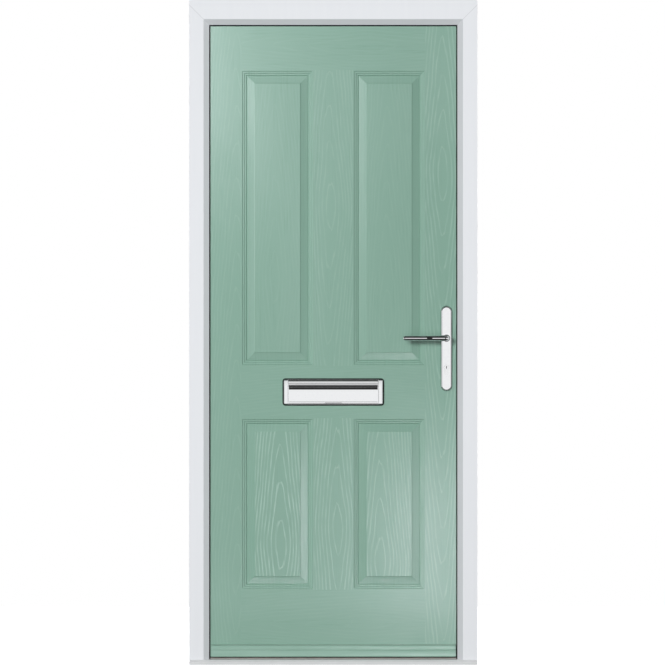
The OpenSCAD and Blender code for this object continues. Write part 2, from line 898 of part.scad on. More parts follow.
module lower_hook_case() {
    hook_case(lower_hook_z);
}

// The hub that the spindle turns in, with the arm that draws the latch
module latch_follower() {
    half_t = case_room_t / 2 - slide_clear;
    color(steel) difference() {
        union() {
            rod_y(follower_r, spindle_x, spindle_z, leaf_mid_y - case_t / 2, leaf_mid_y + case_t / 2);
            drawn_y(leaf_mid_y - half_t, leaf_mid_y + half_t) {
                translate([spindle_x - follower_arm_w / 2, spindle_z]) square([follower_arm_w, follower_arm]);
                translate([spindle_x, spindle_z + follower_arm]) circle(r = follower_arm_w / 2);
            }
        }
        rod_y(follower_bore_r, spindle_x, spindle_z, leaf_mid_y - case_t, leaf_mid_y + case_t);
    }
}

// The sprung latch: a head with a sloped nose and a tail notched for the follower's arm
module latch() {
    tip_x = leaf_half_w + latch_throw;
    root_x = spindle_x + follower_r + latch_throw + slide_clear;
    notch_half_w = follower_arm_w;
    tail_x = spindle_x - notch_half_w - latch_tail;
    tail_z = spindle_z + follower_arm - follower_arm_w;
    notch_top_z = spindle_z + follower_arm + follower_arm_w;
    color(steel) difference() {
        union() {
            translate([0, 0, latch_z - latch_h / 2]) linear_extrude(latch_h) polygon([
                [root_x, leaf_mid_y - latch_t / 2],
                [leaf_half_w, leaf_mid_y - latch_t / 2],
                [tip_x, leaf_mid_y + latch_t / 4],
                [tip_x, leaf_mid_y + latch_t / 2],
                [root_x, leaf_mid_y + latch_t / 2]
            ]);
            box(
                [tail_x, leaf_mid_y - latch_t / 2, tail_z],
                [root_x + over, leaf_mid_y + latch_t / 2, latch_z + latch_h / 2]
            );
        }
        box(
            [spindle_x - notch_half_w, leaf_mid_y - latch_t, tail_z - over],
            [spindle_x + notch_half_w, leaf_mid_y + latch_t, notch_top_z]
        );
    }
}

module deadbolt() {
    tip_x = leaf_half_w - slide_clear;
    color(steel) box(
        [tip_x - deadbolt_l, leaf_mid_y - deadbolt_t / 2, deadbolt_z - deadbolt_h / 2],
        [tip_x, leaf_mid_y + deadbolt_t / 2, deadbolt_z + deadbolt_h / 2]
    );
}

// A hook at rest, pointing up, with its barb to the front
module hook(z) {
    end_z = z + hook_reach - hook_w / 2;
    barb_z = z + hook_inset + edge_gap - keep_proud + keep_t + keep_room;
    color(steel) difference() {
        drawn_y(leaf_mid_y - hook_t / 2, leaf_mid_y + hook_t / 2) {
            translate([hook_x, z]) circle(r = hook_w / 2);
            translate([hook_x - hook_w / 2, z]) square([hook_w, end_z - z]);
            translate([hook_x, end_z]) circle(r = hook_w / 2);
            translate([hook_x, barb_z]) square([hook_w / 2 + hook_barb, end_z - barb_z]);
        }
        rod_y(hook_pin_r + run_clear, hook_x, z, leaf_mid_y - hook_t, leaf_mid_y + hook_t);
    }
}

module upper_hook() {
    hook(upper_hook_z);
}

module lower_hook() {
    hook(lower_hook_z);
}

module drive_bar(z0, z1) {
    x1 = faceplate_x - slide_clear;
    color(steel) box(
        [x1 - drive_bar_t, leaf_mid_y - drive_bar_w / 2, z0],
        [x1, leaf_mid_y + drive_bar_w / 2, z1]
    );
}

module upper_drive_bar() {
    drive_bar(case_top_z + slide_clear, upper_hook_z - hook_reach - drive_travel - slide_clear);
}

module lower_drive_bar() {
    drive_bar(lower_hook_z + hook_case_rise * hook_reach + slide_clear, case_z - drive_travel - slide_clear);
}

// Cylinder

cylinder_y = [leaf_y - backplate_t - cylinder_proud, leaf_back_y + backplate_t + cylinder_proud];
cam_y = [leaf_mid_y - cam_t / 2, leaf_mid_y + cam_t / 2];

module cylinder_body() {
    color(chrome) difference() {
        drawn_y(cylinder_y[0], cylinder_y[1]) cylinder_outline(0);
        rod_y(plug_r + run_clear, spindle_x, cylinder_z, cylinder_y[0] - over, cylinder_y[1] + over);
        box(
            [spindle_x - cam_r, cam_y[0] - slide_clear, cylinder_z - cam_r - slide_clear],
            [spindle_x + cam_r, cam_y[1] + slide_clear, cylinder_z + cylinder_r + over]
        );
    }
}

module plug_outer_end() {
    color(chrome) difference() {
        rod_y(plug_r, spindle_x, cylinder_z, cylinder_y[0], cam_y[0]);
        box(
            [spindle_x - keyway_w / 2, cylinder_y[0] - over, cylinder_z - keyway_h / 2],
            [spindle_x + keyway_w / 2, cylinder_y[0] + keyway_d, cylinder_z + keyway_h / 2]
        );
    }
}

module outer_plug() {
    plug_outer_end();
}

module inner_plug() {
    inside() plug_outer_end();
}

module cam() {
    nose_r = plug_r / 2;
    color(steel) drawn_y(cam_y[0], cam_y[1] - run_clear) {
        translate([spindle_x, cylinder_z]) circle(r = plug_r);
        translate([spindle_x - nose_r, cylinder_z - cam_r + nose_r]) square([2 * nose_r, cam_r - nose_r]);
        translate([spindle_x, cylinder_z - cam_r + nose_r]) circle(r = nose_r);
    }
}

// Handle

// Half of a backplate's section, from its middle out to its rounded edge
module backplate_half_section() {
    half_w = backplate_w / 2;
    square([half_w, backplate_t - backplate_edge_r]);
    square([half_w - backplate_edge_r, backplate_t]);
    translate([half_w - backplate_edge_r, backplate_t - backplate_edge_r]) circle(r = backplate_edge_r);
}

// A backplate on the outside, with round ends and rounded edges
module backplate_blank() {
    end_z = backplate_h / 2 - backplate_w / 2;
    translate([spindle_x, leaf_y, backplate_z]) {
        for (z = [-end_z, end_z])
            translate([0, 0, z]) rotate([90, 0, 0]) rotate_extrude() backplate_half_section();
        translate([0, 0, -end_z]) linear_extrude(2 * end_z)
            for (side = [0, 1])
                mirror([side, 0]) mirror([0, 1]) backplate_half_section();
    }
}

module cut_backplate() {
    face_y = leaf_y - backplate_t;
    difference() {
        backplate_blank();
        rod_y(lever_neck_r + run_clear, spindle_x, spindle_z, face_y - over, leaf_y + over);
        drawn_y(face_y - over, leaf_y + over) cylinder_outline(fixed_clear);
    }
}

module handle_bolt_ways(r, y0, y1) {
    for (side = [-1, 1])
        rod_y(r, spindle_x, backplate_z + side * handle_bolt_gap / 2, y0, y1);
}

handle_bolt_y = [leaf_y - backplate_t + blind_wall, leaf_back_y + backplate_t - handle_head_h];

module outer_backplate() {
    color(chrome) difference() {
        cut_backplate();
        handle_bolt_ways(handle_bolt_r + fixed_clear, handle_bolt_y[0], leaf_y + over);
    }
}

module inner_backplate() {
    face_y = leaf_back_y + backplate_t;
    color(chrome) difference() {
        inside() cut_backplate();
        handle_bolt_ways(handle_bolt_r + fixed_clear, leaf_back_y - over, face_y + over);
        handle_bolt_ways(handle_head_r + fixed_clear, handle_bolt_y[1], face_y + over);
    }
}

module handle_bolts() {
    color(steel) {
        handle_bolt_ways(handle_bolt_r, handle_bolt_y[0], handle_bolt_y[1]);
        handle_bolt_ways(handle_head_r, handle_bolt_y[1], handle_bolt_y[1] + handle_head_h);
    }
}

// A lever on the outside: neck, boss, tapered grip and rounded tip
module lever() {
    tip_x = spindle_x - lever_reach + lever_tip_r;
    color(chrome) difference() {
        union() {
            rod_y(lever_neck_r, spindle_x, spindle_z, lever_y, leaf_y);
            translate([spindle_x, lever_y, spindle_z]) sphere(r = lever_boss_r);
            translate([tip_x, lever_y, spindle_z]) rotate([0, 90, 0])
                cylinder(r1 = lever_tip_r, r2 = lever_r, h = spindle_x - tip_x);
            translate([tip_x, lever_y, spindle_z]) sphere(r = lever_tip_r);
        }
        spindle_bar(run_clear);
    }
}

module outer_lever() {
    lever();
}

module inner_lever() {
    inside() lever();
}

module spindle_bar(grow) {
    half = spindle_side / 2 + grow;
    y0 = leaf_y - spindle_grip - grow;
    y1 = leaf_back_y + spindle_grip + grow;
    box([spindle_x - half, y0, spindle_z - half], [spindle_x + half, y1, spindle_z + half]);
}

module spindle() {
    color(steel) spindle_bar(0);
}

// Letterplate

module letter_outline() {
    r = letter_corner_r;
    half_h = letter_h / 2;
    translate([-letter_half_w + r, letter_z - half_h]) square([letter_w - 2 * r, letter_h]);
    translate([-letter_half_w, letter_z - half_h + r]) square([letter_w, letter_h - 2 * r]);
    for (x = [-letter_half_w + r, letter_half_w - r], z = [letter_z - half_h + r, letter_z + half_h - r])
        translate([x, z]) circle(r = r);
}

// The recess that a flap hangs in, with the notch for its finger tab
module flap_recess() {
    y0 = leaf_y - letter_t - over;
    y1 = leaf_y - letter_base_t;
    half_w = flap_half_w + flap_gap;
    tab_half_w = flap_tab_w / 2 + flap_gap;
    box([-half_w, y0, flap_bottom_z], [half_w, y1, flap_top_z]);
    box([-tab_half_w, y0, flap_bottom_z - flap_tab_h - flap_gap], [tab_half_w, y1, flap_bottom_z + over]);
}

module letter_bolt_ways(r, y0, y1) {
    for (x = [-letter_bolt_x, letter_bolt_x])
        rod_y(r, x, letter_z, y0, y1);
}

letter_bolt_y = [leaf_y - letter_t + blind_wall, leaf_back_y + letter_t - letter_head_h];

// One letterplate frame on the outside, before its bolt holes
module letter_blank() {
    seat_x = flap_half_w + flap_gap + flap_pin_seat;
    difference() {
        drawn_y(leaf_y - letter_t, leaf_y) letter_outline();
        flap_recess();
        letter_way(0, leaf_y - letter_t - over, leaf_y + over);
        rod_x(flap_pin_r + run_clear, flap_axis_y, flap_axis_z, -seat_x, seat_x);
    }
}

module letter_frame() {
    color(chrome) difference() {
        letter_blank();
        letter_bolt_ways(letter_bolt_r + fixed_clear, letter_bolt_y[0], leaf_y + over);
    }
}

module inner_letter_frame() {
    face_y = leaf_back_y + letter_t;
    color(chrome) difference() {
        inside() letter_blank();
        letter_bolt_ways(letter_bolt_r + fixed_clear, leaf_back_y - over, face_y + over);
        letter_bolt_ways(letter_head_r + fixed_clear, letter_bolt_y[1], face_y + over);
    }
}

// A flap on the outside, hanging from its barrel
module flap() {
    face_y = leaf_y - letter_t;
    low_z = flap_bottom_z + flap_gap;
    color(chrome) difference() {
        union() {
            rod_x(flap_barrel_r, flap_axis_y, flap_axis_z, -flap_half_w, flap_half_w);
            box([-flap_half_w, face_y, low_z], [flap_half_w, face_y + flap_t, flap_axis_z]);
            box([-flap_tab_w / 2, face_y, low_z - flap_tab_h], [flap_tab_w / 2, face_y + flap_t, low_z + over]);
        }
        rod_x(flap_pin_r + run_clear, flap_axis_y, flap_axis_z, -flap_half_w - over, flap_half_w + over);
    }
}

module outer_flap() {
    flap();
}

module inner_flap() {
    inside() flap();
}

module flap_pin() {
    end_x = flap_half_w + flap_gap + flap_pin_seat;
    color(steel) rod_x(flap_pin_r, flap_axis_y, flap_axis_z, -end_x, end_x);
}

module flap_pins() {
    flap_pin();
    inside() flap_pin();
}

module sleeve(grow, y0, y1) {
    color("dimgrey") difference() {
        letter_way(grow + sleeve_t, y0, y1);
        letter_way(grow, y0 - over, y1 + over);
    }
}

module outer_sleeve() {
    sleeve(sleeve_t + sleeve_gap, leaf_y, leaf_mid_y + sleeve_overlap / 2);
}

module inner_sleeve() {
    sleeve(0, leaf_mid_y - sleeve_overlap / 2, leaf_back_y);
}

module letter_bolts() {
    color(steel) {
        letter_bolt_ways(letter_bolt_r, letter_bolt_y[0], letter_bolt_y[1]);
        letter_bolt_ways(letter_head_r, letter_bolt_y[1], letter_bolt_y[1] + letter_head_h);
    }
}

hinge_jamb();
lock_jamb();
frame_head();
head_extension();
threshold();
threshold_seal();
hinge_side_seal();
lock_side_seal();
head_seal();
centre_keep();
upper_keep();
lower_keep();
hinge_frame_leaf(bottom_hinge_z);  // bottom_hinge_frame_leaf
hinge_frame_leaf(middle_hinge_z);  // middle_hinge_frame_leaf
hinge_frame_leaf(top_hinge_z);  // top_hinge_frame_leaf
hinge_pin(bottom_hinge_z);  // bottom_hinge_pin
hinge_pin(middle_hinge_z);  // middle_hinge_pin
hinge_pin(top_hinge_z);  // top_hinge_pin
hinge_door_leaf(bottom_hinge_z);  // bottom_hinge_door_leaf
hinge_door_leaf(middle_hinge_z);  // middle_hinge_door_leaf
hinge_door_leaf(top_hinge_z);  // top_hinge_door_leaf
outer_skin();
inner_skin();
upper_core();
lower_core();
hinge_stile();
lock_stile();
top_rail();
mid_rail();
bottom_rail();
weather_bar();
lock_faceplate();
lock_case();
upper_hook_case();
lower_hook_case();
latch_follower();
latch();
deadbolt();
upper_hook();
lower_hook();
upper_drive_bar();
lower_drive_bar();
cylinder_body();
outer_plug();
inner_plug();
cam();
outer_backplate();
inner_backplate();
outer_lever();
inner_lever();
spindle();
handle_bolts();
letter_frame();
inner_letter_frame();
outer_flap();
inner_flap();
flap_pins();
outer_sleeve();
inner_sleeve();
letter_bolts();
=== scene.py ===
# %% [markdown]
# # A panelled front door in its frame
#
# The solids of this door come from its CAD model: frame, leaf, hinges, lock, handle and letterplate.
# This lesson dresses them. It gives every solid a finish, and it makes anew the few pieces whose look
# needs more than the solid has: the wood-grained skins, the weather bar, the lever handles and the frame's
# seals. It adds what the solids leave out: the letterplate's trim, gaskets and screws. All lengths are in
# metres, in the CAD model's own frame: X to the right, Y into the house, Z up.

# %% Load the frame
import json
import math

import bmesh
import bpy
import numpy as np
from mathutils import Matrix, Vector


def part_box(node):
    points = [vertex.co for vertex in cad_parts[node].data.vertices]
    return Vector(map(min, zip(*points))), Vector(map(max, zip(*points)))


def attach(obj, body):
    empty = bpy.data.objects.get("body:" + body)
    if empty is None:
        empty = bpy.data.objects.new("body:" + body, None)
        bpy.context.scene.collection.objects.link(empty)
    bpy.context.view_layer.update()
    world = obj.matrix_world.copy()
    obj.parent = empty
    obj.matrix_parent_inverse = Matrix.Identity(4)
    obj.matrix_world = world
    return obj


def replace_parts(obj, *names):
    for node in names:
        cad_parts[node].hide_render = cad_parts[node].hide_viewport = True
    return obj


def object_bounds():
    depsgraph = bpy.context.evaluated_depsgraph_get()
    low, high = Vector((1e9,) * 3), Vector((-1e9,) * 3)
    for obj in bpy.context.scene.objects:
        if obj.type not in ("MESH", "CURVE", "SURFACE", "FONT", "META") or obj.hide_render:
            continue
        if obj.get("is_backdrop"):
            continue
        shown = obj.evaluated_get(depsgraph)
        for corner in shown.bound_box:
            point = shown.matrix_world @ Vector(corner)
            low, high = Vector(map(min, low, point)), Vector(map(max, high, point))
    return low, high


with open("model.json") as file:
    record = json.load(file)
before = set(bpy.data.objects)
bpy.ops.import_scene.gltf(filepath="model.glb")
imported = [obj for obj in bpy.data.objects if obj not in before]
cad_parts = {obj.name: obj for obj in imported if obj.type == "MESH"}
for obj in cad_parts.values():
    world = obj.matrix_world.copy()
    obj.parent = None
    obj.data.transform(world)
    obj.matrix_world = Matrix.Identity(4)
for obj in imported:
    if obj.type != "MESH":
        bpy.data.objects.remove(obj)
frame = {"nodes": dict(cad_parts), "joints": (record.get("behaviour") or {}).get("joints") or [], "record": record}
nodes = frame["nodes"]
cad_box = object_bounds()

# %% [markdown]
# ## Taking sizes from the solids
#
# A new piece has to sit exactly on the solids round it. Its place could be typed in by hand, but it would
# be wrong as soon as a solid changes. So places are read from the solids' boxes, rounded to a thousandth
# of a millimetre, which takes off the tail that single precision leaves.

# %% Sides of a solid
def sides(node):
    """A solid's box as low and high X, low and high Y, low and high Z."""
    low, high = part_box(node)
    return [round(v, 6) for pair in zip(low, high) for v in pair]


print("sides of the outer skin:", sides("outer_skin"))

# %% [markdown]
# ## Rows of loops
#
# Every new piece here is a row of loops: a loop of points, mostly a closed one, is carried inwards over
# a panel or along a handle, and neighbouring loops are joined by four-sided faces. One array then holds
# the whole surface, with one axis for the loops and one for the points of a loop. Modelling by hand
# would work too, but arrays repeat exactly and each size stays a number that can be changed.

# %% Loops and faces
def joined(loops, closed=True):
    """Points and faces of a row of loops.

    loops has the shape (rows, points, 3). Face (i, j) joins points j and j + 1 of loop i with those of
    loop i + 1; with closed, the last point of a loop also joins its first.
    """
    loops = np.asarray(loops, float)
    rows, count = loops.shape[:2]
    ids = np.arange(rows * count).reshape(rows, count)
    after = np.roll(ids, -1, axis=1)
    if not closed:
        ids, after = ids[:, :-1], after[:, :-1]
    faces = np.stack([ids[:-1], after[:-1], after[1:], ids[1:]], axis=-1).reshape(-1, 4)
    return loops.reshape(-1, 3), faces.tolist()


def lidded(loops):
    """The same with the first and the last loop filled, which closes a bar."""
    points, faces = joined(loops)
    rows, count = np.asarray(loops).shape[:2]
    start = list(range(count))[::-1]
    end = list(range((rows - 1) * count, rows * count))
    return points, faces + [start, end]


def drawn(section, axis, low, high):
    """A closed section carried straight along one axis; its columns are the other two axes in order."""
    section = np.asarray(section, float)
    return lidded(np.stack([np.insert(section, axis, end, axis=1) for end in (low, high)]))


square = [(0.0, 0.0), (1.0, 0.0), (1.0, 1.0), (0.0, 1.0)]
print("faces of a square bar:", len(drawn(square, 2, 0.0, 1.0)[1]))

# %% [markdown]
# ## Pieces that ride on the door
#
# Each piece is one mesh object. Its points are merged where parts meet, its faces are turned outwards and
# its hard edges are marked, so that the rest shades smoothly. It rides on one body of the mechanism, and
# it names the stuff that it is made of. Its object stays at the origin, because its place is in its mesh.

# %% From arrays to a piece
def piece(name, parts, material, body, sharp=30.0, weld=1e-6):
    """Puts lists of (points, faces) into one mesh, welds it, and lets it ride on a body.

    Edges that turn by more than the sharp angle, in degrees, stay crisp.
    """
    offsets = np.cumsum([0] + [len(p) for p, _ in parts])
    points = np.concatenate([p for p, _ in parts])
    faces = [[int(k + o) for k in f] for (_, fs), o in zip(parts, offsets) for f in fs]
    mesh = bpy.data.meshes.new(name)
    mesh.from_pydata(points.tolist(), [], faces)
    shaped = bmesh.new()
    shaped.from_mesh(mesh)
    bmesh.ops.remove_doubles(shaped, verts=shaped.verts, dist=weld)
    bmesh.ops.recalc_face_normals(shaped, faces=shaped.faces)
    shaped.to_mesh(mesh)
    shaped.free()
    mesh.polygons.foreach_set("use_smooth", np.ones(len(mesh.polygons), bool))
    mesh.set_sharp_from_angle(angle=math.radians(sharp))
    mesh.materials.append(material)
    made = bpy.data.objects.new(name, mesh)
    bpy.context.scene.collection.objects.link(made)
    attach(made, body)
    print(name, len(mesh.vertices), "points", len(mesh.polygons), "faces")
    return made


# %% [markdown]
# ## Writing a finish
#
# A finish is a small graph of nodes that ends in one shader. A few helpers keep each finish to a handful
# of lines: one starts a material, one adds a node with its settings, one joins sockets. What is the same
# all over a surface is set on the shader itself, and only what varies comes through nodes.

# %% Helpers for finishes
class Finish:
    """A material under construction: add nodes, link them, and end in its shader."""

    def __init__(self, name, colour, roughness, metallic=0.0):
        self.material = bpy.data.materials.new(name)
        self.material.use_nodes = True
        self.tree = self.material.node_tree
        self.shader = self.tree.nodes["Principled BSDF"]
        self.set("Base Color", (*colour, 1.0))
        self.set("Roughness", roughness)
        self.set("Metallic", metallic)

    def set(self, socket, value):
        """Sets one of the shader's inputs to a fixed value."""
        self.shader.inputs[socket].default_value = value

    def node(self, kind, inputs=None, **settings):
        """Adds a node: inputs are numbers or sockets, settings are its own choices."""
        made = self.tree.nodes.new("ShaderNode" + kind)
        for key, value in settings.items():
            setattr(made, key, value)
        for key, value in (inputs or {}).items():
            self.feed(value, made.inputs[key])
        return made

    def feed(self, value, socket):
        """Links a socket to another, or sets a number there."""
        if isinstance(value, bpy.types.NodeSocket):
            self.tree.links.new(value, socket)
        else:
            socket.default_value = value

    def math(self, operation, a, b=0.0, clamp=False):
        """One operation on two values."""
        made = self.node("Math", {0: a, 1: b}, operation=operation, use_clamp=clamp)
        return made.outputs[0]

    def scaled(self, vector, scale):
        """A vector times one factor for each axis."""
        made = self.node("VectorMath", {0: vector, 1: scale}, operation="MULTIPLY")
        return made.outputs[0]

    def place(self):
        """Where a point lies, in the piece's own coordinates."""
        return self.node("TexCoord").outputs["Object"]

    def noise(self, vector, scale, detail=3.0, roughness=0.5):
        """Soft noise from 0 to 1."""
        inputs = {"Vector": vector, "Scale": scale, "Detail": detail, "Roughness": roughness}
        return self.node("TexNoise", inputs).outputs["Fac"]

    def spread(self, value, low, high, to_low, to_high):
        """A value taken from one range to another along a straight line, and held at its ends."""
        made = self.node("MapRange", {0: value, 1: low, 2: high, 3: to_low, 4: to_high})
        return made.outputs[0]

    def blend(self, share, first, second):
        """A colour between two others; each of them is a socket or three numbers."""
        ends = [c if isinstance(c, bpy.types.NodeSocket) else (*c, 1.0) for c in (first, second)]
        made = self.node("Mix", {0: share, 6: ends[0], 7: ends[1]}, data_type="RGBA")
        return made.outputs[2]

    def colour(self, value):
        """Gives the shader a colour that varies."""
        self.feed(value, self.shader.inputs["Base Color"])

    def rough(self, value):
        """Gives the shader a gloss that varies."""
        self.feed(value, self.shader.inputs["Roughness"])

    def bump(self, height, depth, strength):
        """Relief: a height from 0 to 1 over a depth in metres."""
        made = self.node("Bump", {"Height": height, "Distance": depth, "Strength": strength})
        self.feed(made.outputs[0], self.shader.inputs["Normal"])


print("helpers for a finish:", [name for name in vars(Finish) if not name.startswith("_")])

# %% [markdown]
# ## The green skin's finish
#
# The skins of such a door are pressed with a wood grain and painted in one satin colour. The grain is
# thus relief and hardly colour: raised rings, which catch the light and look paler than their ground,
# and fine sunken pores. So the paler colour of the rings is a painted highlight, and the darker colour
# of the pores is painted shade. The finish reads two maps that the skin carries: where a point lies
# across and along its board, measured from the heart of the board's figure, and how strong that figure is.
# A flat-sawn board shows pointed arches around a closed eye. Here a point's ring number is its distance
# along the board from the heart plus a multiple of its distance across, rounded off in the middle, so
# rings are the level lines of a hyperbola, mirrored below the heart. Dividing by how fast that number
# changes turns it into a distance in metres, and so the raised lines keep one width. A photograph of
# wood would show one board only, and this one never repeats.

# %% Green wood-grained finish
GREEN = (0.212, 0.368, 0.292)
# paler green, a painted highlight: on the grain it stands for light caught by the raised rings, and on the weather
# bar it lifts the bar's paint out of its shade
PALE_GREEN_HIGHLIGHT = (0.305, 0.470, 0.392)
# darker green, painted shade in the sunken pores
GREEN_PORE_SHADE = (0.170, 0.312, 0.242)
RING_STEP = 0.115         # from one arch to the next along the board
RING_START = 0.085        # from the heart to the tip of the eye
RING_FALL = 12.5          # how steeply an arch's legs fall
RING_ROUND = 0.021        # how wide an arch's tip is
RING_EYE = 0.030          # how blunt the ends of the eye are
RING_JAG = 0.06           # how ragged a ring runs
RING_LINE = 0.0029        # half the width of a raised ring
GRAIN_BEND = 0.022        # how far the grain wanders sideways
BOARD_SHIFT = 7.31        # how far the noise moves on from one board to the next


def green_grain():
    """Painted grain: rings and pores as gloss and relief, and in colour as painted highlight and painted shade.

    The ring number is the distance along the board plus RING_FALL times the distance across, both rounded
    off near the heart, in steps of RING_STEP. What is left of it after the nearest whole number, over the
    rate at which it changes, is the distance to that ring's line.
    """
    f = Finish("green_wood_grain", GREEN, 0.39)
    split = f.node("SeparateXYZ", {0: f.node("UVMap", uv_map="grain").outputs[0]})
    across, along = split.outputs[0], split.outputs[1]
    board = f.node("Attribute", attribute_name="board").outputs["Fac"]
    figure = f.node("Attribute", attribute_name="figure").outputs["Fac"]
    seed = f.math("MULTIPLY", board, BOARD_SHIFT)

    def streaks(across_scale, along_scale, detail=2.0, low=0.0, high=1.0, to_low=-0.5, to_high=0.5):
        """Noise drawn out along the board, spread from low..high to to_low..to_high."""
        at = f.node("CombineXYZ", {0: f.math("MULTIPLY", across, across_scale),
                                   1: f.math("MULTIPLY", along, along_scale), 2: seed}).outputs[0]
        return f.spread(f.noise(at, 1.0, detail), low, high, to_low, to_high)

    bent = f.math("ADD", across, f.math("MULTIPLY", streaks(7.0, 3.0), GRAIN_BEND))
    reach = f.math("SQRT", f.math("ADD", f.math("MULTIPLY", along, along), RING_EYE ** 2))
    wide = f.math("SQRT", f.math("ADD", f.math("MULTIPLY", bent, bent), RING_ROUND ** 2))
    bow = f.math("MULTIPLY", f.math("SUBTRACT", wide, RING_ROUND), RING_FALL)
    jag = f.math("MULTIPLY", streaks(70.0, 9.0), RING_JAG)
    height = f.math("ADD", f.math("ADD", reach, bow), jag)
    ring = f.math("DIVIDE", f.math("SUBTRACT", height, RING_START), RING_STEP)
    fall = f.math("MULTIPLY", f.math("DIVIDE", bent, wide), RING_FALL)
    rate = f.math("SQRT", f.math("ADD", f.math("MULTIPLY", fall, fall), 1.0))
    away = f.math("DIVIDE", f.math("MULTIPLY", f.math("PINGPONG", ring, 0.5), RING_STEP), rate)
    line = f.spread(away, RING_LINE * 0.35, RING_LINE, 1.0, 0.0)
    line = f.math("MULTIPLY", line, streaks(90.0, 14.0, 2.0, 0.35, 0.6, 0.25, 1.0))
    raised = f.math("MULTIPLY", line, figure, clamp=True)
    pores = f.math("MULTIPLY", streaks(600.0, 9.0, 3.0, 0.52, 0.70, 0.0, 1.0),
                   streaks(30.0, 3.0, 2.0, 0.35, 0.65, 0.2, 1.0))
    # painted shade: the pores are coloured darker, as where shade falls into them
    ground = f.blend(f.math("MULTIPLY", pores, 0.6), GREEN, GREEN_PORE_SHADE)
    # painted highlight: the raised rings are coloured paler, as where they catch the light
    f.colour(f.blend(raised, ground, PALE_GREEN_HIGHLIGHT))
    f.rough(f.spread(pores, 0.0, 1.0, 0.31, 0.44))
    f.bump(f.math("SUBTRACT", raised, f.math("MULTIPLY", pores, 0.4)), 0.0004, 0.6)
    return f.material


GREEN_SKIN = green_grain()
print("finish:", GREEN_SKIN.name)

# %% [markdown]
# ## The moulded skins
#
# A skin is one pressed sheet. Its flat parts are the stiles, rails and muntins, and its four panels sink
# in a moulding and rise again to a raised field. A panel is a rectangle carried inwards: at each step of
# the moulding's profile the rectangle is a little smaller and lies at that step's depth, so the corners
# mitre by themselves. The flat parts are loops too, around the letter slot and around the handle's holes.
# Each board keeps its own grain, so the joints between stiles and rails show as on a joined door. The
# sheet is a surface at first, and a Solidify modifier gives it its thickness towards the inside.

# %% Sizes of the leaf
_, LEAF_X, FACE_Y, _, LEAF_Z0, LEAF_Z1 = sides("outer_skin")
LEAF_MID_Y = (FACE_Y + sides("inner_skin")[3]) / 2
STILE, MUNTIN = 0.112, 0.1245
BOTTOM_RAIL, MID_RAIL, TOP_RAIL = 0.212, 0.1655, 0.1525
LOWER_PANEL = 0.543                     # height of the lower panels
PANEL_X0, PANEL_X1 = MUNTIN / 2, LEAF_X - STILE
LOWER_Z0 = LEAF_Z0 + BOTTOM_RAIL
LOWER_Z1 = LOWER_Z0 + LOWER_PANEL
UPPER_Z0, UPPER_Z1 = LOWER_Z1 + MID_RAIL, LEAF_Z1 - TOP_RAIL
SLOT_ROOM = 0.001                       # between the letterplate's sleeve and the skin
sleeve = sides("outer_sleeve")
SLOT_X, SLOT_Z0, SLOT_Z1 = sleeve[1] + SLOT_ROOM, sleeve[4] - SLOT_ROOM, sleeve[5] + SLOT_ROOM
HOLES_IN = 0.003                        # one opening, this far in behind the handle's backplate
backplate = sides("outer_backplate")
HOLES_X0, HOLES_X1 = backplate[0] + HOLES_IN, backplate[1] - HOLES_IN
HOLES_Z0, HOLES_MID_Z, HOLES_Z1 = 0.911, 0.96, 1.0445
SKIN_THICK = 0.0020


def panel_profile():
    """Insets and depths from a panel's edge to its field, in millimetres on the lines below.

    A flat margin, a step to a flat bead, a second step to a second bead, a third step to a groove, a long
    slope back up, and a small shoulder round the field. Steps are steep and beads flat.
    """
    steps = np.array([
        (0.0, 0.0), (2.9, 0.0), (3.2, 0.2), (5.0, 2.1), (5.3, 2.3),
        (9.2, 2.3), (9.5, 2.5), (11.3, 4.4), (11.6, 4.6),
        (15.5, 4.6), (15.8, 4.9), (17.4, 7.4), (17.7, 7.6),
        (18.1, 7.6), (18.6, 6.9), (19.0, 6.54), (40.4, 3.0),
        (40.9, 2.8), (41.3, 2.3), (41.7, 1.8), (42.2, 1.55), (43.0, 1.5)]) / 1000
    return steps[:, 0], steps[:, 1]


def rectangle_loops(x0, x1, z0, z1, insets, depths):
    """The rectangle carried inwards: row i is its four corners moved in by insets[i] at depths[i]."""
    x = np.stack([x0 + insets, x1 - insets, x1 - insets, x0 + insets], axis=1)
    z = np.stack([z0 + insets, z0 + insets, z1 - insets, z1 - insets], axis=1)
    y = np.repeat((FACE_Y + depths)[:, None], 4, axis=1)
    return np.stack([x, y, z], axis=-1)


def flat_loop(points):
    """A loop on the leaf's face from its X and Z."""
    xz = np.asarray(points, float)
    return np.stack([xz[:, 0], np.full(len(xz), FACE_Y), xz[:, 1]], axis=-1)


insets, depths = panel_profile()
print("steps over a panel's edge:", len(insets))

# %% [markdown]
# ## Boards and their grain
#
# A joined door has upright stiles and muntins and level rails, and on each the grain runs lengthwise. The
# sheet could carry one grain all over, but then the joints would vanish. So every board is its own strip
# of faces. It knows which way its grain runs, where the heart of its figure lies and how strong that is.

# %% Boards of a skin
UPRIGHT, LEVEL = (0, 2), (2, 0)     # which of X and Z runs across and which along the grain
MOULDING_SHARE = 0.12               # how much of a panel's figure shows on its moulding


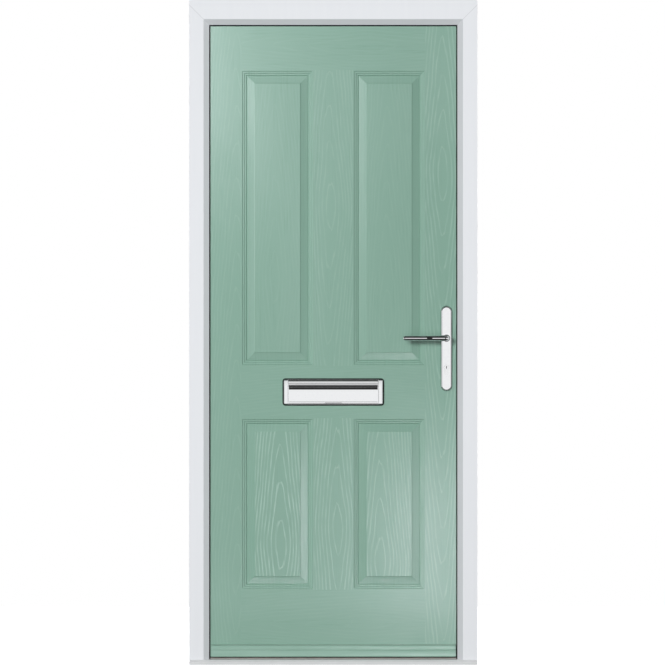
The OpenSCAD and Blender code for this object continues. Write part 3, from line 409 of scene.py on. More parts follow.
def skin_boards():
    """Every board of a skin: points, faces, grain direction, heart of the figure, its strength, number."""
    boards = []

    def add(loops, grain, heart, figure, number=None, closed=True):
        number = len(boards) if number is None else number
        boards.append((*joined(loops, closed), grain, heart, figure, number))

    def plain(x0, x1, z_lines, *looks):
        """A board of plain four-sided fields between two edges, one field between each two heights."""
        add(np.stack([flat_loop([(x0, z), (x1, z)]) for z in z_lines]), UPRIGHT, *looks, closed=False)

    heights = [LEAF_Z0, LOWER_Z0, LOWER_Z1, UPPER_Z0, UPPER_Z1, LEAF_Z1]
    left, right = ((-0.305, 0.30), 0.24, 0), ((0.345, 1.55), 0.60, 1)
    plain(-LEAF_X, -PANEL_X1, heights, *left)
    plain(PANEL_X1, LEAF_X, heights[:3], *right)
    plain(PANEL_X1, LEAF_X, heights[4:], *right)
    outer = [(PANEL_X1, LOWER_Z1), (LEAF_X, LOWER_Z1), (LEAF_X, UPPER_Z1),
             (PANEL_X1, UPPER_Z1), (PANEL_X1, UPPER_Z0)]
    inner = [(HOLES_X0, HOLES_Z0), (HOLES_X1, HOLES_Z0), (HOLES_X1, HOLES_Z1), (HOLES_X0, HOLES_Z1),
             (HOLES_X0, HOLES_MID_Z)]
    add(np.stack([flat_loop(outer), flat_loop(inner)]), UPRIGHT, *right)

    across = [-PANEL_X1, -PANEL_X0, PANEL_X0, PANEL_X1]
    for low, high in ((LEAF_Z0, LOWER_Z0), (UPPER_Z1, LEAF_Z1)):
        level_board = np.stack([flat_loop([(x, z) for x in across]) for z in (low, high)])
        add(level_board, LEVEL, (0.12, (low + high) / 2), 0.11, closed=False)
    rail = [(x, LOWER_Z1) for x in across] + [(x, UPPER_Z0) for x in across[::-1]]
    slot_x = [-SLOT_X, -PANEL_X0, PANEL_X0, SLOT_X]
    slot = [(x, SLOT_Z0) for x in slot_x] + [(x, SLOT_Z1) for x in slot_x[::-1]]
    add(np.stack([flat_loop(rail), flat_loop(slot)]), LEVEL, (0.10, LOWER_Z1), 0.12)

    plain(-PANEL_X0, PANEL_X0, [LOWER_Z0, LOWER_Z1], (0.012, 0.43), 0.70)
    plain(-PANEL_X0, PANEL_X0, [UPPER_Z0, UPPER_Z1], (-0.010, 1.45), 0.38)
    for side, low, high, heart, figure in (
            (-1, LOWER_Z0, LOWER_Z1, (-0.168, 0.379), 1.0), (1, LOWER_Z0, LOWER_Z1, (0.148, 0.323), 0.7),
            (-1, UPPER_Z0, UPPER_Z1, (-0.185, 1.22), 0.14), (1, UPPER_Z0, UPPER_Z1, (0.170, 1.10), 0.16)):
        x0, x1 = sorted((side * PANEL_X0, side * PANEL_X1))
        points, faces = joined(rectangle_loops(x0, x1, low, high, insets, depths))
        field = (np.arange(4) + (len(insets) - 1) * 4).tolist()
        figures = [MOULDING_SHARE * figure] * len(faces) + [figure]
        boards.append((points, faces + [field], UPRIGHT, heart, figures, len(boards)))
    return boards


print("boards of a skin:", len(skin_boards()))

# %% [markdown]
# ## From boards to a sheet
#
# The boards are welded along their edges, and each face keeps its board's maps. The finish reads these
# maps, so the grain follows the boards and not the room. Mitres and steps stay crisp while slopes shade
# smoothly. The same sheet, mirrored about the leaf's middle, is the inner skin.

# %% Build the two skins
INSIDE_NUMBERS = 20                 # the inner skin's boards count on from here
CRISP_ANGLE = 24.0


def skin(name, node, inside):
    """One skin: its boards welded into a sheet, with the maps that the grain needs.

    Border edges and mitres, which run aslant, stay crisp; so do edges that turn by more than CRISP_ANGLE.
    The inner skin is the outer one mirrored about the leaf's middle, with its faces turned round.
    """
    boards = skin_boards()
    offsets = np.cumsum([0] + [len(b[0]) for b in boards])
    points = np.concatenate([b[0] for b in boards])
    faces, uv, numbers, figures = [], [], [], []
    for (own, own_faces, grain, heart, figure, number), offset in zip(boards, offsets):
        start = heart if grain == UPRIGHT else heart[::-1]
        maps = own[:, list(grain)] - np.asarray(start)
        for f in own_faces:
            turned = f[::-1] if inside else f
            faces.append([int(k + offset) for k in turned])
            uv.append(maps[turned])
        numbers += [float(number + (INSIDE_NUMBERS if inside else 0))] * len(own_faces)
        figures += figure if isinstance(figure, list) else [figure] * len(own_faces)
    if inside:
        points = points * (1, -1, 1) + (0, 2 * LEAF_MID_Y, 0)
    mesh = bpy.data.meshes.new(name)
    mesh.from_pydata(points.tolist(), [], faces)
    mesh.uv_layers.new(name="grain").uv.foreach_set("vector", np.concatenate(uv).astype(np.float32).ravel())
    for key, values in (("board", numbers), ("figure", figures)):
        mesh.attributes.new(key, "FLOAT", "FACE").data.foreach_set("value", np.asarray(values, np.float32))
    sheet = bmesh.new()
    sheet.from_mesh(mesh)
    bmesh.ops.remove_doubles(sheet, verts=sheet.verts, dist=1e-5)
    border = np.array([edge.is_boundary for edge in sheet.edges])
    sheet.to_mesh(mesh)
    sheet.free()
    mesh.polygons.foreach_set("use_smooth", np.ones(len(mesh.polygons), bool))
    mesh.set_sharp_from_angle(angle=math.radians(CRISP_ANGLE))
    crisp = np.zeros(len(border), bool)
    ends = np.zeros(2 * len(border), int)
    at = np.zeros(3 * len(mesh.vertices))
    mesh.edges.foreach_get("use_edge_sharp", crisp)
    mesh.edges.foreach_get("vertices", ends)
    mesh.vertices.foreach_get("co", at)
    run = np.abs(np.diff(at.reshape(-1, 3)[ends.reshape(-1, 2)], axis=1))[:, 0]
    mitre = (run[:, 0] > 1e-6) & (run[:, 2] > 1e-6)
    mesh.edges.foreach_set("use_edge_sharp", crisp | border | mitre)
    mesh.materials.append(GREEN_SKIN)
    made = bpy.data.objects.new(name, mesh)
    bpy.context.scene.collection.objects.link(made)
    thick = made.modifiers.new("thickness", "SOLIDIFY")
    thick.thickness = SKIN_THICK
    thick.offset = -1.0
    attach(made, "leaf")
    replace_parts(made, node)
    print(name, len(mesh.vertices), "points", len(mesh.polygons), "faces")
    return made


outer_face = skin("outer_panelled_skin", "outer_skin", False)
skin("inner_panelled_skin", "inner_skin", True)

# %% [markdown]
# ## The weather bar
#
# The bar at the foot throws rain clear of the threshold. It is an extruded strip, painted like the leaf
# but a little paler, as painted light against the shade at the foot of the door. Its section has a thin
# lip, a groove under it, a falling face with a second groove, and a rounded drip nose. Grooves could be
# cut into a block, but here the section is one closed line of points, as a maker would draw the die,
# carried from end to end of the bar.

# %% Weather bar
def lightened_green_paint():
    """Satin paint on a smooth strip, paler than the leaf's as painted light, its tone drawn out along X, and fine
    flow marks.
    """
    f = Finish("lightened_green_satin_paint", GREEN, 0.36)
    place = f.place()
    # painted light: the bar's colour runs from the leaf's green up to the paler green, a lift against its shade,
    # in random streaks along X
    f.colour(f.blend(f.noise(f.scaled(place, (3.0, 40.0, 40.0)), 2.0), GREEN, PALE_GREEN_HIGHLIGHT))
    f.rough(f.spread(f.noise(place, 90.0), 0.3, 0.7, 0.32, 0.42))
    f.bump(f.noise(place, 900.0), 0.0001, 0.3)
    return f.material


LIGHTENED_GREEN_PAINT = lightened_green_paint()


def weather_bar_section():
    """The bar's section as Y and Z in millimetres, from the top at the leaf.

    One row of points each for lip, groove, face and second groove, and two rows for the nose.
    """
    line = [
        (-7.0, 63.0), (-13.6, 63.0), (-14.3, 62.5), (-14.3, 62.0),
        (-9.5, 61.2), (-9.5, 60.0),
        (-14.6, 59.2), (-15.2, 58.4), (-17.4, 48.0), (-17.2, 47.2),
        (-15.6, 46.6), (-15.6, 45.4),
        (-18.2, 44.6), (-19.0, 43.8), (-21.6, 35.0), (-22.6, 30.0),
        (-23.0, 26.6), (-22.6, 25.0), (-21.2, 24.0), (-7.0, 24.0)]
    return np.array(line) / 1000


bar = drawn(weather_bar_section(), 0, *sides("weather_bar")[:2])
weather_bar = piece("painted_weather_bar", [bar], LIGHTENED_GREEN_PAINT, "leaf", sharp=35)
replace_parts(weather_bar, "weather_bar")

# %% [markdown]
# ## Finishes of the solids
#
# The other solids keep their CAD shape and get the finish of what they are made of. Each finish has the
# small unevenness of the real one: flow marks in plastic, brushing on metal, cells in foam, rings in wood.
# Pictures wrapped round each solid would need a flat map of every one. Noise that is read at a point's
# place in space needs none, and runs on across the corners. First comes the frame's white plastic.

# %% White plastic
WHITE_LOW, WHITE_HIGH = (0.785, 0.806, 0.838), (0.815, 0.834, 0.862)
# painted shade: the frame's sloping bead is coloured towards this grey, as the side of the frame that lies in
# shade
PAINTED_SHADE_GREY = (0.45, 0.46, 0.48)
BEAD_X, BEAD_Z, BEAD_Y = 0.4095, 2.038, -0.0105     # outer edges and back of the frame's sloping bead
BEAD_WIDE = 0.018


def white_plastic():
    """Drawn white plastic: a hairline marks the weld on each mitre, and the sloping bead gets painted shade.

    A point lies on a mitre where its height over the bead's corner equals its distance outwards from it.
    """
    f = Finish("white_plastic_profile", (0.80, 0.82, 0.85), 0.42)
    place = f.place()
    drawn_lines = f.noise(f.scaled(place, (60.0, 60.0, 4.0)), 1.0)
    split = f.node("SeparateXYZ", {0: place})
    rise = f.math("SUBTRACT", split.outputs[2], BEAD_Z)
    out = f.math("SUBTRACT", f.math("ABSOLUTE", split.outputs[0]), BEAD_X)
    beside = f.math("ABSOLUTE", f.math("SUBTRACT", rise, out))
    weld = f.spread(beside, 0.0006, 0.0014, 1.0, 0.0)
    weld = f.math("MULTIPLY", weld, f.math("GREATER_THAN", rise, -BEAD_WIDE))
    # painted shade on the sloping bead round the opening; the weld hairline is a real mark
    bead = f.math("MULTIPLY", f.math("LESS_THAN", f.math("MAXIMUM", rise, out), -0.0002),
                  f.math("LESS_THAN", split.outputs[1], BEAD_Y))
    share = f.math("MAXIMUM", f.math("MULTIPLY", weld, 0.5), f.math("MULTIPLY", bead, 0.33))
    f.colour(f.blend(share, f.blend(drawn_lines, WHITE_LOW, WHITE_HIGH), PAINTED_SHADE_GREY))
    f.rough(f.spread(f.noise(place, 150.0), 0.3, 0.7, 0.38, 0.48))
    f.bump(f.math("SUBTRACT", f.noise(place, 700.0), weld), 0.00008, 0.25)
    return f.material


WHITE_PLASTIC = white_plastic()
print("finish:", WHITE_PLASTIC.name)

# %% [markdown]
# ## What is hardly seen
#
# Seals, letterplate sleeves, and the leaf's foam and timber show only in gaps and when the door is open.
# A plain colour would pass there, but up close each has a grain of its own, and noise gives it in a line.

# %% Rubber and dark plastic
def rubber():
    """Black rubber: slightly mottled, dull and finely pitted."""
    f = Finish("black_rubber", (0.02, 0.02, 0.021), 0.6)
    place = f.place()
    f.colour(f.blend(f.noise(place, 60.0), (0.010, 0.010, 0.011), (0.022, 0.022, 0.024)))
    f.rough(f.spread(f.noise(place, 400.0), 0.3, 0.7, 0.5, 0.75))
    f.bump(f.noise(place, 1500.0), 0.0001, 0.3)
    f.set("Specular IOR Level", 0.25)
    return f.material


def sleeve_plastic():
    """Dark moulded plastic with a fine texture."""
    f = Finish("dark_plastic", (0.03, 0.03, 0.032), 0.5)
    place = f.place()
    f.colour(f.blend(f.noise(place, 40.0), (0.026, 0.026, 0.028), (0.042, 0.042, 0.045)))
    f.bump(f.noise(place, 1200.0), 0.0001, 0.4)
    return f.material


RUBBER, SLEEVE_PLASTIC = rubber(), sleeve_plastic()
print("finishes:", RUBBER.name, SLEEVE_PLASTIC.name)

# %% Foam and timber
def foam():
    """Insulating foam: the distance to the nearest cell's middle is its relief."""
    f = Finish("insulating_foam", (0.70, 0.56, 0.25), 0.9)
    place = f.place()
    cells = f.node("TexVoronoi", {"Vector": place, "Scale": 900.0}).outputs["Distance"]
    f.colour(f.blend(f.noise(place, 30.0), (0.66, 0.51, 0.21), (0.76, 0.63, 0.32)))
    f.bump(cells, 0.0004, 0.6)
    return f.material


def timber():
    """Laminated softwood: noise that is drawn out upwards makes its rings."""
    f = Finish("laminated_softwood", (0.55, 0.36, 0.18), 0.65)
    place = f.place()
    rings = f.noise(f.scaled(place, (160.0, 160.0, 4.0)), 1.0, 4.0)
    f.colour(f.blend(f.spread(rings, 0.35, 0.65, 0.0, 1.0), (0.42, 0.25, 0.11), (0.64, 0.44, 0.24)))
    f.bump(rings, 0.0004, 0.5)
    return f.material


FOAM, TIMBER = foam(), timber()
print("finishes:", FOAM.name, TIMBER.name)

# %% [markdown]
# ## Metals
#
# The lock is zinc-plated steel, the hinges are satin steel, the threshold is satin aluminium, and handle
# and letterplate are polished chrome. All of them are one finish with other numbers: fine lines of
# brushing, which change colour, gloss and relief together. Polish is the same with next to no relief. The
# threshold's matt skin scatters more light than bare metal does, so it counts as metal only in part. The
# cylinder has a finish of its own, with painted shade inside, so that its keyhole looks deep.

# %% Metals
def metal(name, light, dark, rough_low, rough_high, stretch, depth=0.00004, metallic=1.0):
    """A metal whose colour, gloss and relief vary along one brushing direction."""
    f = Finish(name, light, rough_low, metallic)
    brushed = f.noise(f.scaled(f.place(), stretch), 5.0, 4.0)
    f.colour(f.blend(f.spread(brushed, 0.3, 0.7, 0.0, 1.0), light, dark))
    f.rough(f.spread(brushed, 0.3, 0.7, rough_low, rough_high))
    f.bump(brushed, depth, 0.25)
    return f.material


CHROME = metal("polished_chrome", (0.88, 0.89, 0.90), (0.86, 0.87, 0.885),
               0.03, 0.05, (30.0, 30.0, 30.0), depth=0.000001)
LOCK_STEEL = metal("zinc_plated_steel", (0.66, 0.66, 0.64), (0.56, 0.57, 0.57),
                   0.3, 0.45, (60.0, 60.0, 12.0))
HINGE_STEEL = metal("satin_steel", (0.74, 0.74, 0.75), (0.66, 0.66, 0.67),
                    0.24, 0.36, (90.0, 90.0, 8.0))
THRESHOLD_METAL = metal("satin_aluminium", (0.90, 0.91, 0.92), (0.84, 0.85, 0.86),
                        0.45, 0.58, (3.0, 220.0, 220.0), metallic=0.3)


KEY_CHROME = (0.86, 0.87, 0.88)
# painted shade in the keyway: full up to the first depth from the leaf's middle, none from the second
KEYHOLE_SHADE_FULL, KEYHOLE_SHADE_END = 0.0328, 0.0334   # from the leaf's middle: all dark up to here, all bright from here


def keyhole_shade_chrome():
    """Polished chrome that is dull inside, where the key goes in and the plug turns, and painted dark there as
    shade.
    """
    f = Finish("keyhole_shade_chrome", KEY_CHROME, 0.1, 1.0)
    depth = f.node("SeparateXYZ", {0: f.place()}).outputs[1]
    from_middle = f.math("ABSOLUTE", f.math("SUBTRACT", depth, LEAF_MID_Y))
    inside = f.spread(from_middle, KEYHOLE_SHADE_FULL, KEYHOLE_SHADE_END, 1.0, 0.0)
    # painted shade: the chrome inside the keyway and round the plug is coloured nearly black
    f.colour(f.blend(inside, KEY_CHROME, (0.03, 0.03, 0.03)))
    f.rough(f.spread(inside, 0.0, 1.0, 0.1, 0.6))
    return f.material


KEYHOLE_SHADE_CHROME = keyhole_shade_chrome()
print("metals:", [m.name for m in (CHROME, LOCK_STEEL, HINGE_STEEL, THRESHOLD_METAL, KEYHOLE_SHADE_CHROME)])

# %% [markdown]
# ## Giving the finishes out
#
# Each solid's record names the stuff that it is made of. A table from stuff to finish then dresses them
# all in one loop, which is safer than choosing a finish sixty times. Only the lock cylinder and its plugs
# get the chrome with painted shade inside instead.

# %% Finish of each solid
finishes = {
    "white_plastic": WHITE_PLASTIC, "seal_rubber": RUBBER, "sleeve_plastic": SLEEVE_PLASTIC,
    "foam": FOAM, "timber": TIMBER, "chrome": CHROME, "lock_steel": LOCK_STEEL,
    "hinge_steel": HINGE_STEEL, "threshold_metal": THRESHOLD_METAL, "green_skin": LIGHTENED_GREEN_PAINT,
}
for part in frame["record"]["subparts"]:
    keyed = part["node"] in ("outer_plug", "inner_plug", "cylinder_body")
    for held in nodes[part["node"]].material_slots:
        held.material = KEYHOLE_SHADE_CHROME if keyed else finishes[part["material_slot"]]

# %% [markdown]
# ## The lever handles
#
# A lever is cast in one piece: a round neck comes out of the backplate, turns in a tight elbow and runs
# out to a slightly thinner, rounded tip. A circle is carried along that path, and its radius changes on
# the way. Rods and balls pushed together would leave creases where polished metal flows.

# %% Levers
SPINDLE_X, _, SPINDLE_Z = next(j["pos_m"] for j in frame["joints"] if j["name"] == "lever_press")
LEVER_Y = -0.054                # the grip's middle line, in front of the leaf
TIP_X = sides("outer_lever")[0]
TIP_R = 0.0084
STEP_X0, STEP_X1 = SPINDLE_X - 0.0345, SPINDLE_X - 0.0700      # where the grip steps back to the door
STEP_GAP = 0.0045               # from there to the next point of the grip


def lever_path():
    """Middle line and radius of a lever, from its backplate to its tip.

    Straight out along -Y from a flared foot, a quarter turn of 9 mm radius, straight along -X, a soft
    step back towards the door, straight again, and a rounded end whose radius falls as on a ball.
    """
    bend, step = 0.009, 0.0065
    turn = np.linspace(0.0, math.pi / 2, 13)
    out = np.array([-0.0160, -0.0172, -0.0190, -0.0215, -0.0260, -0.0360, LEVER_Y + bend])
    neck = np.column_stack([np.full(len(out), SPINDLE_X), out])
    elbow = np.column_stack([SPINDLE_X - bend + bend * np.cos(turn),
                             LEVER_Y + bend - bend * np.sin(turn)])[1:]
    along = np.concatenate([np.linspace(SPINDLE_X - bend, STEP_X0 + STEP_GAP, 4)[1:],
                            np.linspace(STEP_X0, STEP_X1, 9),
                            np.linspace(STEP_X1 - STEP_GAP, TIP_X + TIP_R, 7)])
    share = np.clip((STEP_X0 - along) / (STEP_X0 - STEP_X1), 0.0, 1.0)
    grip = np.column_stack([along, LEVER_Y + step * share * share * (3 - 2 * share)])
    ball = np.linspace(0.0, math.pi / 2, 9)[1:]
    tip = np.column_stack([TIP_X + TIP_R - TIP_R * np.sin(ball), np.full(len(ball), LEVER_Y + step)])
    neck_r = [0.0112, 0.0110, 0.0101, 0.0094, 0.0090, 0.0090, 0.0092]
    elbow_r = np.linspace(0.0093, 0.0091, len(elbow))
    grip_r = np.linspace(0.0091, TIP_R, len(grip))
    tip_r = np.maximum(TIP_R * np.cos(ball), 1e-5)
    return np.concatenate([neck, elbow, grip, tip]), np.concatenate([neck_r, elbow_r, grip_r, tip_r])


def tube(path, radius, count=32):
    """A circle carried along a path in X and Y: each loop stands square to the path's direction."""
    ahead = np.gradient(path, axis=0)
    ahead /= np.linalg.norm(ahead, axis=1, keepdims=True)
    side = np.stack([-ahead[:, 1], ahead[:, 0]], axis=-1)
    turn = np.linspace(0.0, 2 * math.pi, count, endpoint=False)
    flat = path[:, None, :] + side[:, None, :] * (radius[:, None] * np.cos(turn))[..., None]
    height = SPINDLE_Z + radius[:, None] * np.sin(turn)
    return np.concatenate([flat, height[..., None]], axis=-1)


def inwards(points, faces):
    """The same piece on the inside of the leaf, mirrored about the leaf's middle."""
    return points * (1, -1, 1) + (0, 2 * LEAF_MID_Y, 0), faces


path, radius = lever_path()
lever = lidded(tube(path, radius))
for side, built in (("outer", lever), ("inner", inwards(*lever))):
    handle = piece(side + "_lever_handle", [built], CHROME, "levers", sharp=40)
    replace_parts(handle, side + "_lever")

# %% [markdown]
# ## Round corners
#
# Pressed metal and cut rubber have no sharp corner. A bevel modifier would round every edge of a piece
# alike. Here corners are arcs in the outline and front edges are arcs in the section, so each can have
# the radius that it has on the real one.

# %% Arcs, outlines and plates
def arc(centre, radii, start, stop, count):
    """Points on an ellipse in a section's plane, from start to stop degrees."""
    turn = np.radians(np.linspace(start, stop, count))
    return np.asarray(centre) + np.asarray(radii) * np.stack([np.cos(turn), np.sin(turn)], axis=-1)


def rounded(x0, x1, z0, z1, radius, steps=6):
    """A rectangle in X and Z whose corners are quarter circles."""
    left, right, low, high = x0 + radius, x1 - radius, z0 + radius, z1 - radius
    middles = ((right, high), (left, high), (left, low), (right, low))
    corners = [arc(m, (radius, radius), 90 * k, 90 * k + 90, steps) for k, m in enumerate(middles)]
    return np.concatenate(corners)


def pillow(x0, x1, z0, z1, corner, back, front, edge):
    """A plate whose front edge is rounded: its outline steps back along a quarter circle."""
    turn = np.linspace(0.0, math.pi / 2, 6)
    steps = np.concatenate([[0.0], edge * (1 - np.cos(turn))])
    heights = np.concatenate([[back], front + edge * (1 - np.sin(turn))])
    return lidded(np.stack([np.insert(rounded(x0 + i, x1 - i, z0 + i, z1 - i, corner - i), 1, y, axis=1)
                            for i, y in zip(steps, heights)]))


print("points round a plate with rounded corners:", len(rounded(0.0, 1.0, 0.0, 1.0, 0.1)))

# %% [markdown]
# ## The letterplate's trim
#
# A letterplate's frame has a rolled top edge over two ridges, a bead along its foot and rounded cheeks at
# its ends. It is pressed from one sheet. A net of the whole sheet would be hard to read, so each ridge is
# a section of its own, drawn from cheek to cheek and laid on the flat solid.

# %% Trim
_, PLATE_X, PLATE_Y, _, PLATE_Z0, PLATE_Z1 = sides("letter_frame")
CHEEK_X = PLATE_X - 0.0140      # inner side of a cheek
ROLL_Z = PLATE_Z1 - 0.00605     # where the rolled top edge starts


def ridge(z0, z1, high, edge):
    """A flat-topped bar on the plate's front between two heights, its edges rounded."""
    top = PLATE_Y - high
    section = np.concatenate([[(PLATE_Y, z0)], arc((top + edge, z0 + edge), (edge, edge), 270, 180, 5),
                              arc((top + edge, z1 - edge), (edge, edge), 180, 90, 5), [(PLATE_Y, z1)]])
    return drawn(section, 0, -CHEEK_X, CHEEK_X)


def letter_trim():
    """A rolled top edge, two ridges and a bead, with a cheek at each end, on the plate's front."""
    roll = np.concatenate([[(PLATE_Y, ROLL_Z)], arc((PLATE_Y, ROLL_Z), (0.0024, 0.0058), 180, 90, 9)])
    ridges = [drawn(roll, 0, -CHEEK_X, CHEEK_X),
              ridge(ROLL_Z - 0.0039, ROLL_Z, 0.0024, 0.0007),
              ridge(ROLL_Z - 0.0090, ROLL_Z - 0.0050, 0.0018, 0.0011),
              ridge(PLATE_Z0 + 0.00035, PLATE_Z0 + 0.00295, 0.0014, 0.0011)]
    cheeks = [pillow(x0, x1, PLATE_Z0, PLATE_Z1, 0.003, PLATE_Y, PLATE_Y - 0.0026, 0.0022)
              for x0, x1 in ((-PLATE_X, -CHEEK_X), (CHEEK_X, PLATE_X))]
    return ridges + cheeks


trim = letter_trim()
print("parts of the trim:", len(trim))

# %% [markdown]
# ## The flap
#
# The flap has a face that rolls back at the top, where it hinges, a small finger tab at its foot and
# a black wiper strip along its upper edge, which keeps out draughts. The strip also stands in for the
# shade under the plate's rolled top, so its dark band is partly painted shade. The face is a section
# again, and tab and strip are plates with rounded edges. They ride on the flap, so they lift with it.

# %% Flap face and wiper
FLAP_X = CHEEK_X - 0.0016       # half the flap's width
FLAP_Z0 = PLATE_Z0 + 0.00675    # its lower edge
FOOT_R, ROLL_R = 0.0012, 0.026


def flap_face():
    """The flap's face: flat, with a small foot and a top that rolls back on a 26 mm radius."""
    front = PLATE_Y - 0.0022
    foot = arc((front + FOOT_R, FLAP_Z0 + FOOT_R), (FOOT_R, FOOT_R), 270, 180, 5)
    roll = arc((front + ROLL_R, FLAP_Z0 + 0.0370), (ROLL_R, ROLL_R), 180, 156.3, 8)
    section = np.concatenate([[(PLATE_Y, FLAP_Z0)], foot, roll])
    tab = pillow(-0.026, 0.026, FLAP_Z0 - 0.0028, FLAP_Z0 + 0.0010, 0.0015, PLATE_Y, PLATE_Y - 0.0016, 0.0010)
    return [drawn(section, 0, -FLAP_X, FLAP_X), tab]


def flap_wiper():
    """A thin black strip along the flap's top edge, which also serves as painted shade under the plate's rolled
    top.
    """
    low, high = FLAP_Z0 + 0.0477, FLAP_Z0 + 0.0533
    return [pillow(-FLAP_X, FLAP_X, low, high, 0.001, PLATE_Y, PLATE_Y - 0.0003, 0.0002)]


face, shadow_wiper = flap_face(), flap_wiper()
print("parts of a flap:", len(face) + len(shadow_wiper))

# %% [markdown]
# ## Gaskets
#
# Thin black gaskets keep rain out behind letterplate and handle, and stand out a little all round. That
# dark rim also stands in for the shadow round each plate, so it is partly painted shadow. A flat plate
# behind each would do from the front, but it would close the letter slot. So a gasket is a ring, a small
# rectangle carried round the plate's outline.

# %% Gaskets, and all of it on both sides of the leaf
# the dark rims that stand out round the plates are partly painted shadow: they draw the shadow round each plate
LETTER_SHADOW_RIM, HANDLE_SHADOW_RIM = 0.0048, 0.0012       # how far they stand out


def shadow_gasket(x0, x1, z0, z1, corner, stand_out):
    """A thin dark ring behind a plate: it stands out all round, as painted shadow round the plate, and reaches 4
    mm in under the plate.

    Its section, carried round the plate's outline, is one rectangle: out at the back, out and in at the
    front, in at the back.
    """
    front, under = FACE_Y - 0.0012, -0.004
    section = ((stand_out, FACE_Y), (stand_out, front), (under, front), (under, FACE_Y), (stand_out, FACE_Y))
    loops = [np.insert(rounded(x0 - o, x1 + o, z0 - o, z1 + o, corner + o), 1, y, axis=1) for o, y in section]
    return joined(np.stack(loops))


letter_shadow_ring = [shadow_gasket(-PLATE_X, PLATE_X, PLATE_Z0, PLATE_Z1, 0.0045, LETTER_SHADOW_RIM)]
handle_shadow_ring = [shadow_gasket(*backplate[:2], *backplate[4:], 0.0160, HANDLE_SHADOW_RIM)]
for side, turned in (("outer", lambda parts: parts), ("inner", lambda parts: [inwards(*p) for p in parts])):
    piece(side + "_letter_trim", turned(trim), CHROME, "leaf")
    piece(side + "_flap_face", turned(face), CHROME, side + "_flap")
    piece(side + "_flap_wiper", turned(shadow_wiper), RUBBER, side + "_flap")
    piece(side + "_letter_gasket", turned(letter_shadow_ring), RUBBER, "leaf")
    piece(side + "_handle_gasket", turned(handle_shadow_ring), RUBBER, "leaf")

# %% [markdown]
# ## Frame seals
#
# A rubber strip sits behind the frame's lip, and the closed leaf rests against it. From outside its
# rounded nose shows as a dark line all round the leaf. The nose is set a little past the solid, so that
# this dark line also stands in for the lip's shadow on the leaf: it is partly painted shadow. The solid
# is a plain bar, and its square edge would catch a hard line of light. So the strip is a section with a
# round nose, drawn along each side of the opening.

# %% Seals
# the nose stands past the solid so that its dark line also serves as painted shadow of the lip on the leaf
SEAL_SHADOW_PROUD = 0.0027             # how far the nose stands past the solid
seal_x0, SEAL_BACK, SEAL_Y0, SEAL_Y1, SEAL_LOW, seal_z1 = sides("lock_side_seal")
SEAL_NOSE, SEAL_TOP = seal_x0 - SEAL_SHADOW_PROUD, seal_z1 - SEAL_SHADOW_PROUD


def seal_section(nose, back):
    """A strip between lip and leaf, square at its back and half round at its nose."""
    middle, half = (SEAL_Y0 + SEAL_Y1) / 2, (SEAL_Y1 - SEAL_Y0) / 2
    away = math.copysign(1.0, back - nose)
    curve = arc((nose + away * half, middle), (-away * half, half), -90, 90, 9)
    return np.concatenate([curve, [(back, SEAL_Y1), (back, SEAL_Y0)]])


head = seal_section(SEAL_TOP, SEAL_TOP + SEAL_BACK - SEAL_NOSE)[:, ::-1]
strips = {
    "hinge_side_seal": drawn(seal_section(-SEAL_NOSE, -SEAL_BACK), 2, SEAL_LOW, SEAL_TOP),
    "lock_side_seal": drawn(seal_section(SEAL_NOSE, SEAL_BACK), 2, SEAL_LOW, SEAL_TOP),
    "head_seal": drawn(head, 0, -SEAL_BACK, SEAL_BACK),
}
for node, strip in strips.items():
    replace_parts(piece("round_" + node, [strip], RUBBER, "frame"), node)

# %% [markdown]
# ## Screws
#
# Faceplate and keeps are held by cross-headed screws. A cross could be cut out of a solid dome, which
# leaves untidy faces. Here a head is a height over a round grid of rings and turns: a low dome, and lower
# wherever the cross is.

# %% Screws
HEAD_R, HEAD_RISE = 0.0034, 0.0009
FACEPLATE_SCREWS = (0.245, 0.52, 0.80, 1.25, 1.50, 1.785)
KEEP_SCREWS = (0.3085, 0.381, 0.956, 1.0788, 1.6785, 1.751)


def screw(x, z, facing):
    """A head on a plate at X, at height Z: dome minus cross, over 9 rings of 32 points.

    The dome falls with the square of the distance from its middle, and the cross is where either of the
    two distances across is small.
    """
    ring = np.array([HEAD_R, HEAD_R, 0.0031, 0.0027, 0.0022, 0.0017, 0.0012, 0.0007, 1e-5])[:, None]
    turn = np.linspace(0.0, 2 * math.pi, 32, endpoint=False)[None, :]
    u, v = ring * np.cos(turn), ring * np.sin(turn)
    dome = HEAD_RISE * (1 - (ring / HEAD_R) ** 2) + 0.0 * turn
    cross = (np.minimum(np.abs(u), np.abs(v)) < 0.00045) & (ring < 0.0024)
    height = np.where(cross, dome - 0.0006, dome + 0.0002)
    height[0] = 0.0
    return lidded(np.stack([x + facing * height, LEAF_MID_Y + u, z + v], axis=-1))


faceplate_x, keep_x = sides("lock_faceplate")[1], sides("centre_keep")[0]
piece("faceplate_screws", [screw(faceplate_x, z, 1) for z in FACEPLATE_SCREWS], LOCK_STEEL,
      "leaf", weld=1e-7)
piece("keep_screws", [screw(keep_x, z, -1) for z in KEEP_SCREWS], LOCK_STEEL,
      "frame", weld=1e-7)

# %% [markdown]
# ## Floor
#
# The door stands on plain white ground that runs on past the picture's edges. A lit floor would turn grey
# towards the back, so this one glows by itself and stays white. It is hidden from soft and mirrored
# light, which keeps its glow off the door.

# %% Floor
FLOOR_X, FLOOR_FRONT, FLOOR_BACK, FLOOR_Z = 6.0, -13.5, 2.5, -0.001


def pale_floor():
    """Nearly white ground that glows by itself."""
    f = Finish("pale_floor", (0.9, 0.9, 0.9), 0.8)
    f.colour(f.blend(f.noise(f.place(), 3.0), (0.88, 0.88, 0.88), (0.93, 0.93, 0.93)))
    f.set("Emission Color", (1.0, 1.0, 1.0, 1.0))
    f.set("Emission Strength", 1.0)
    return f.material


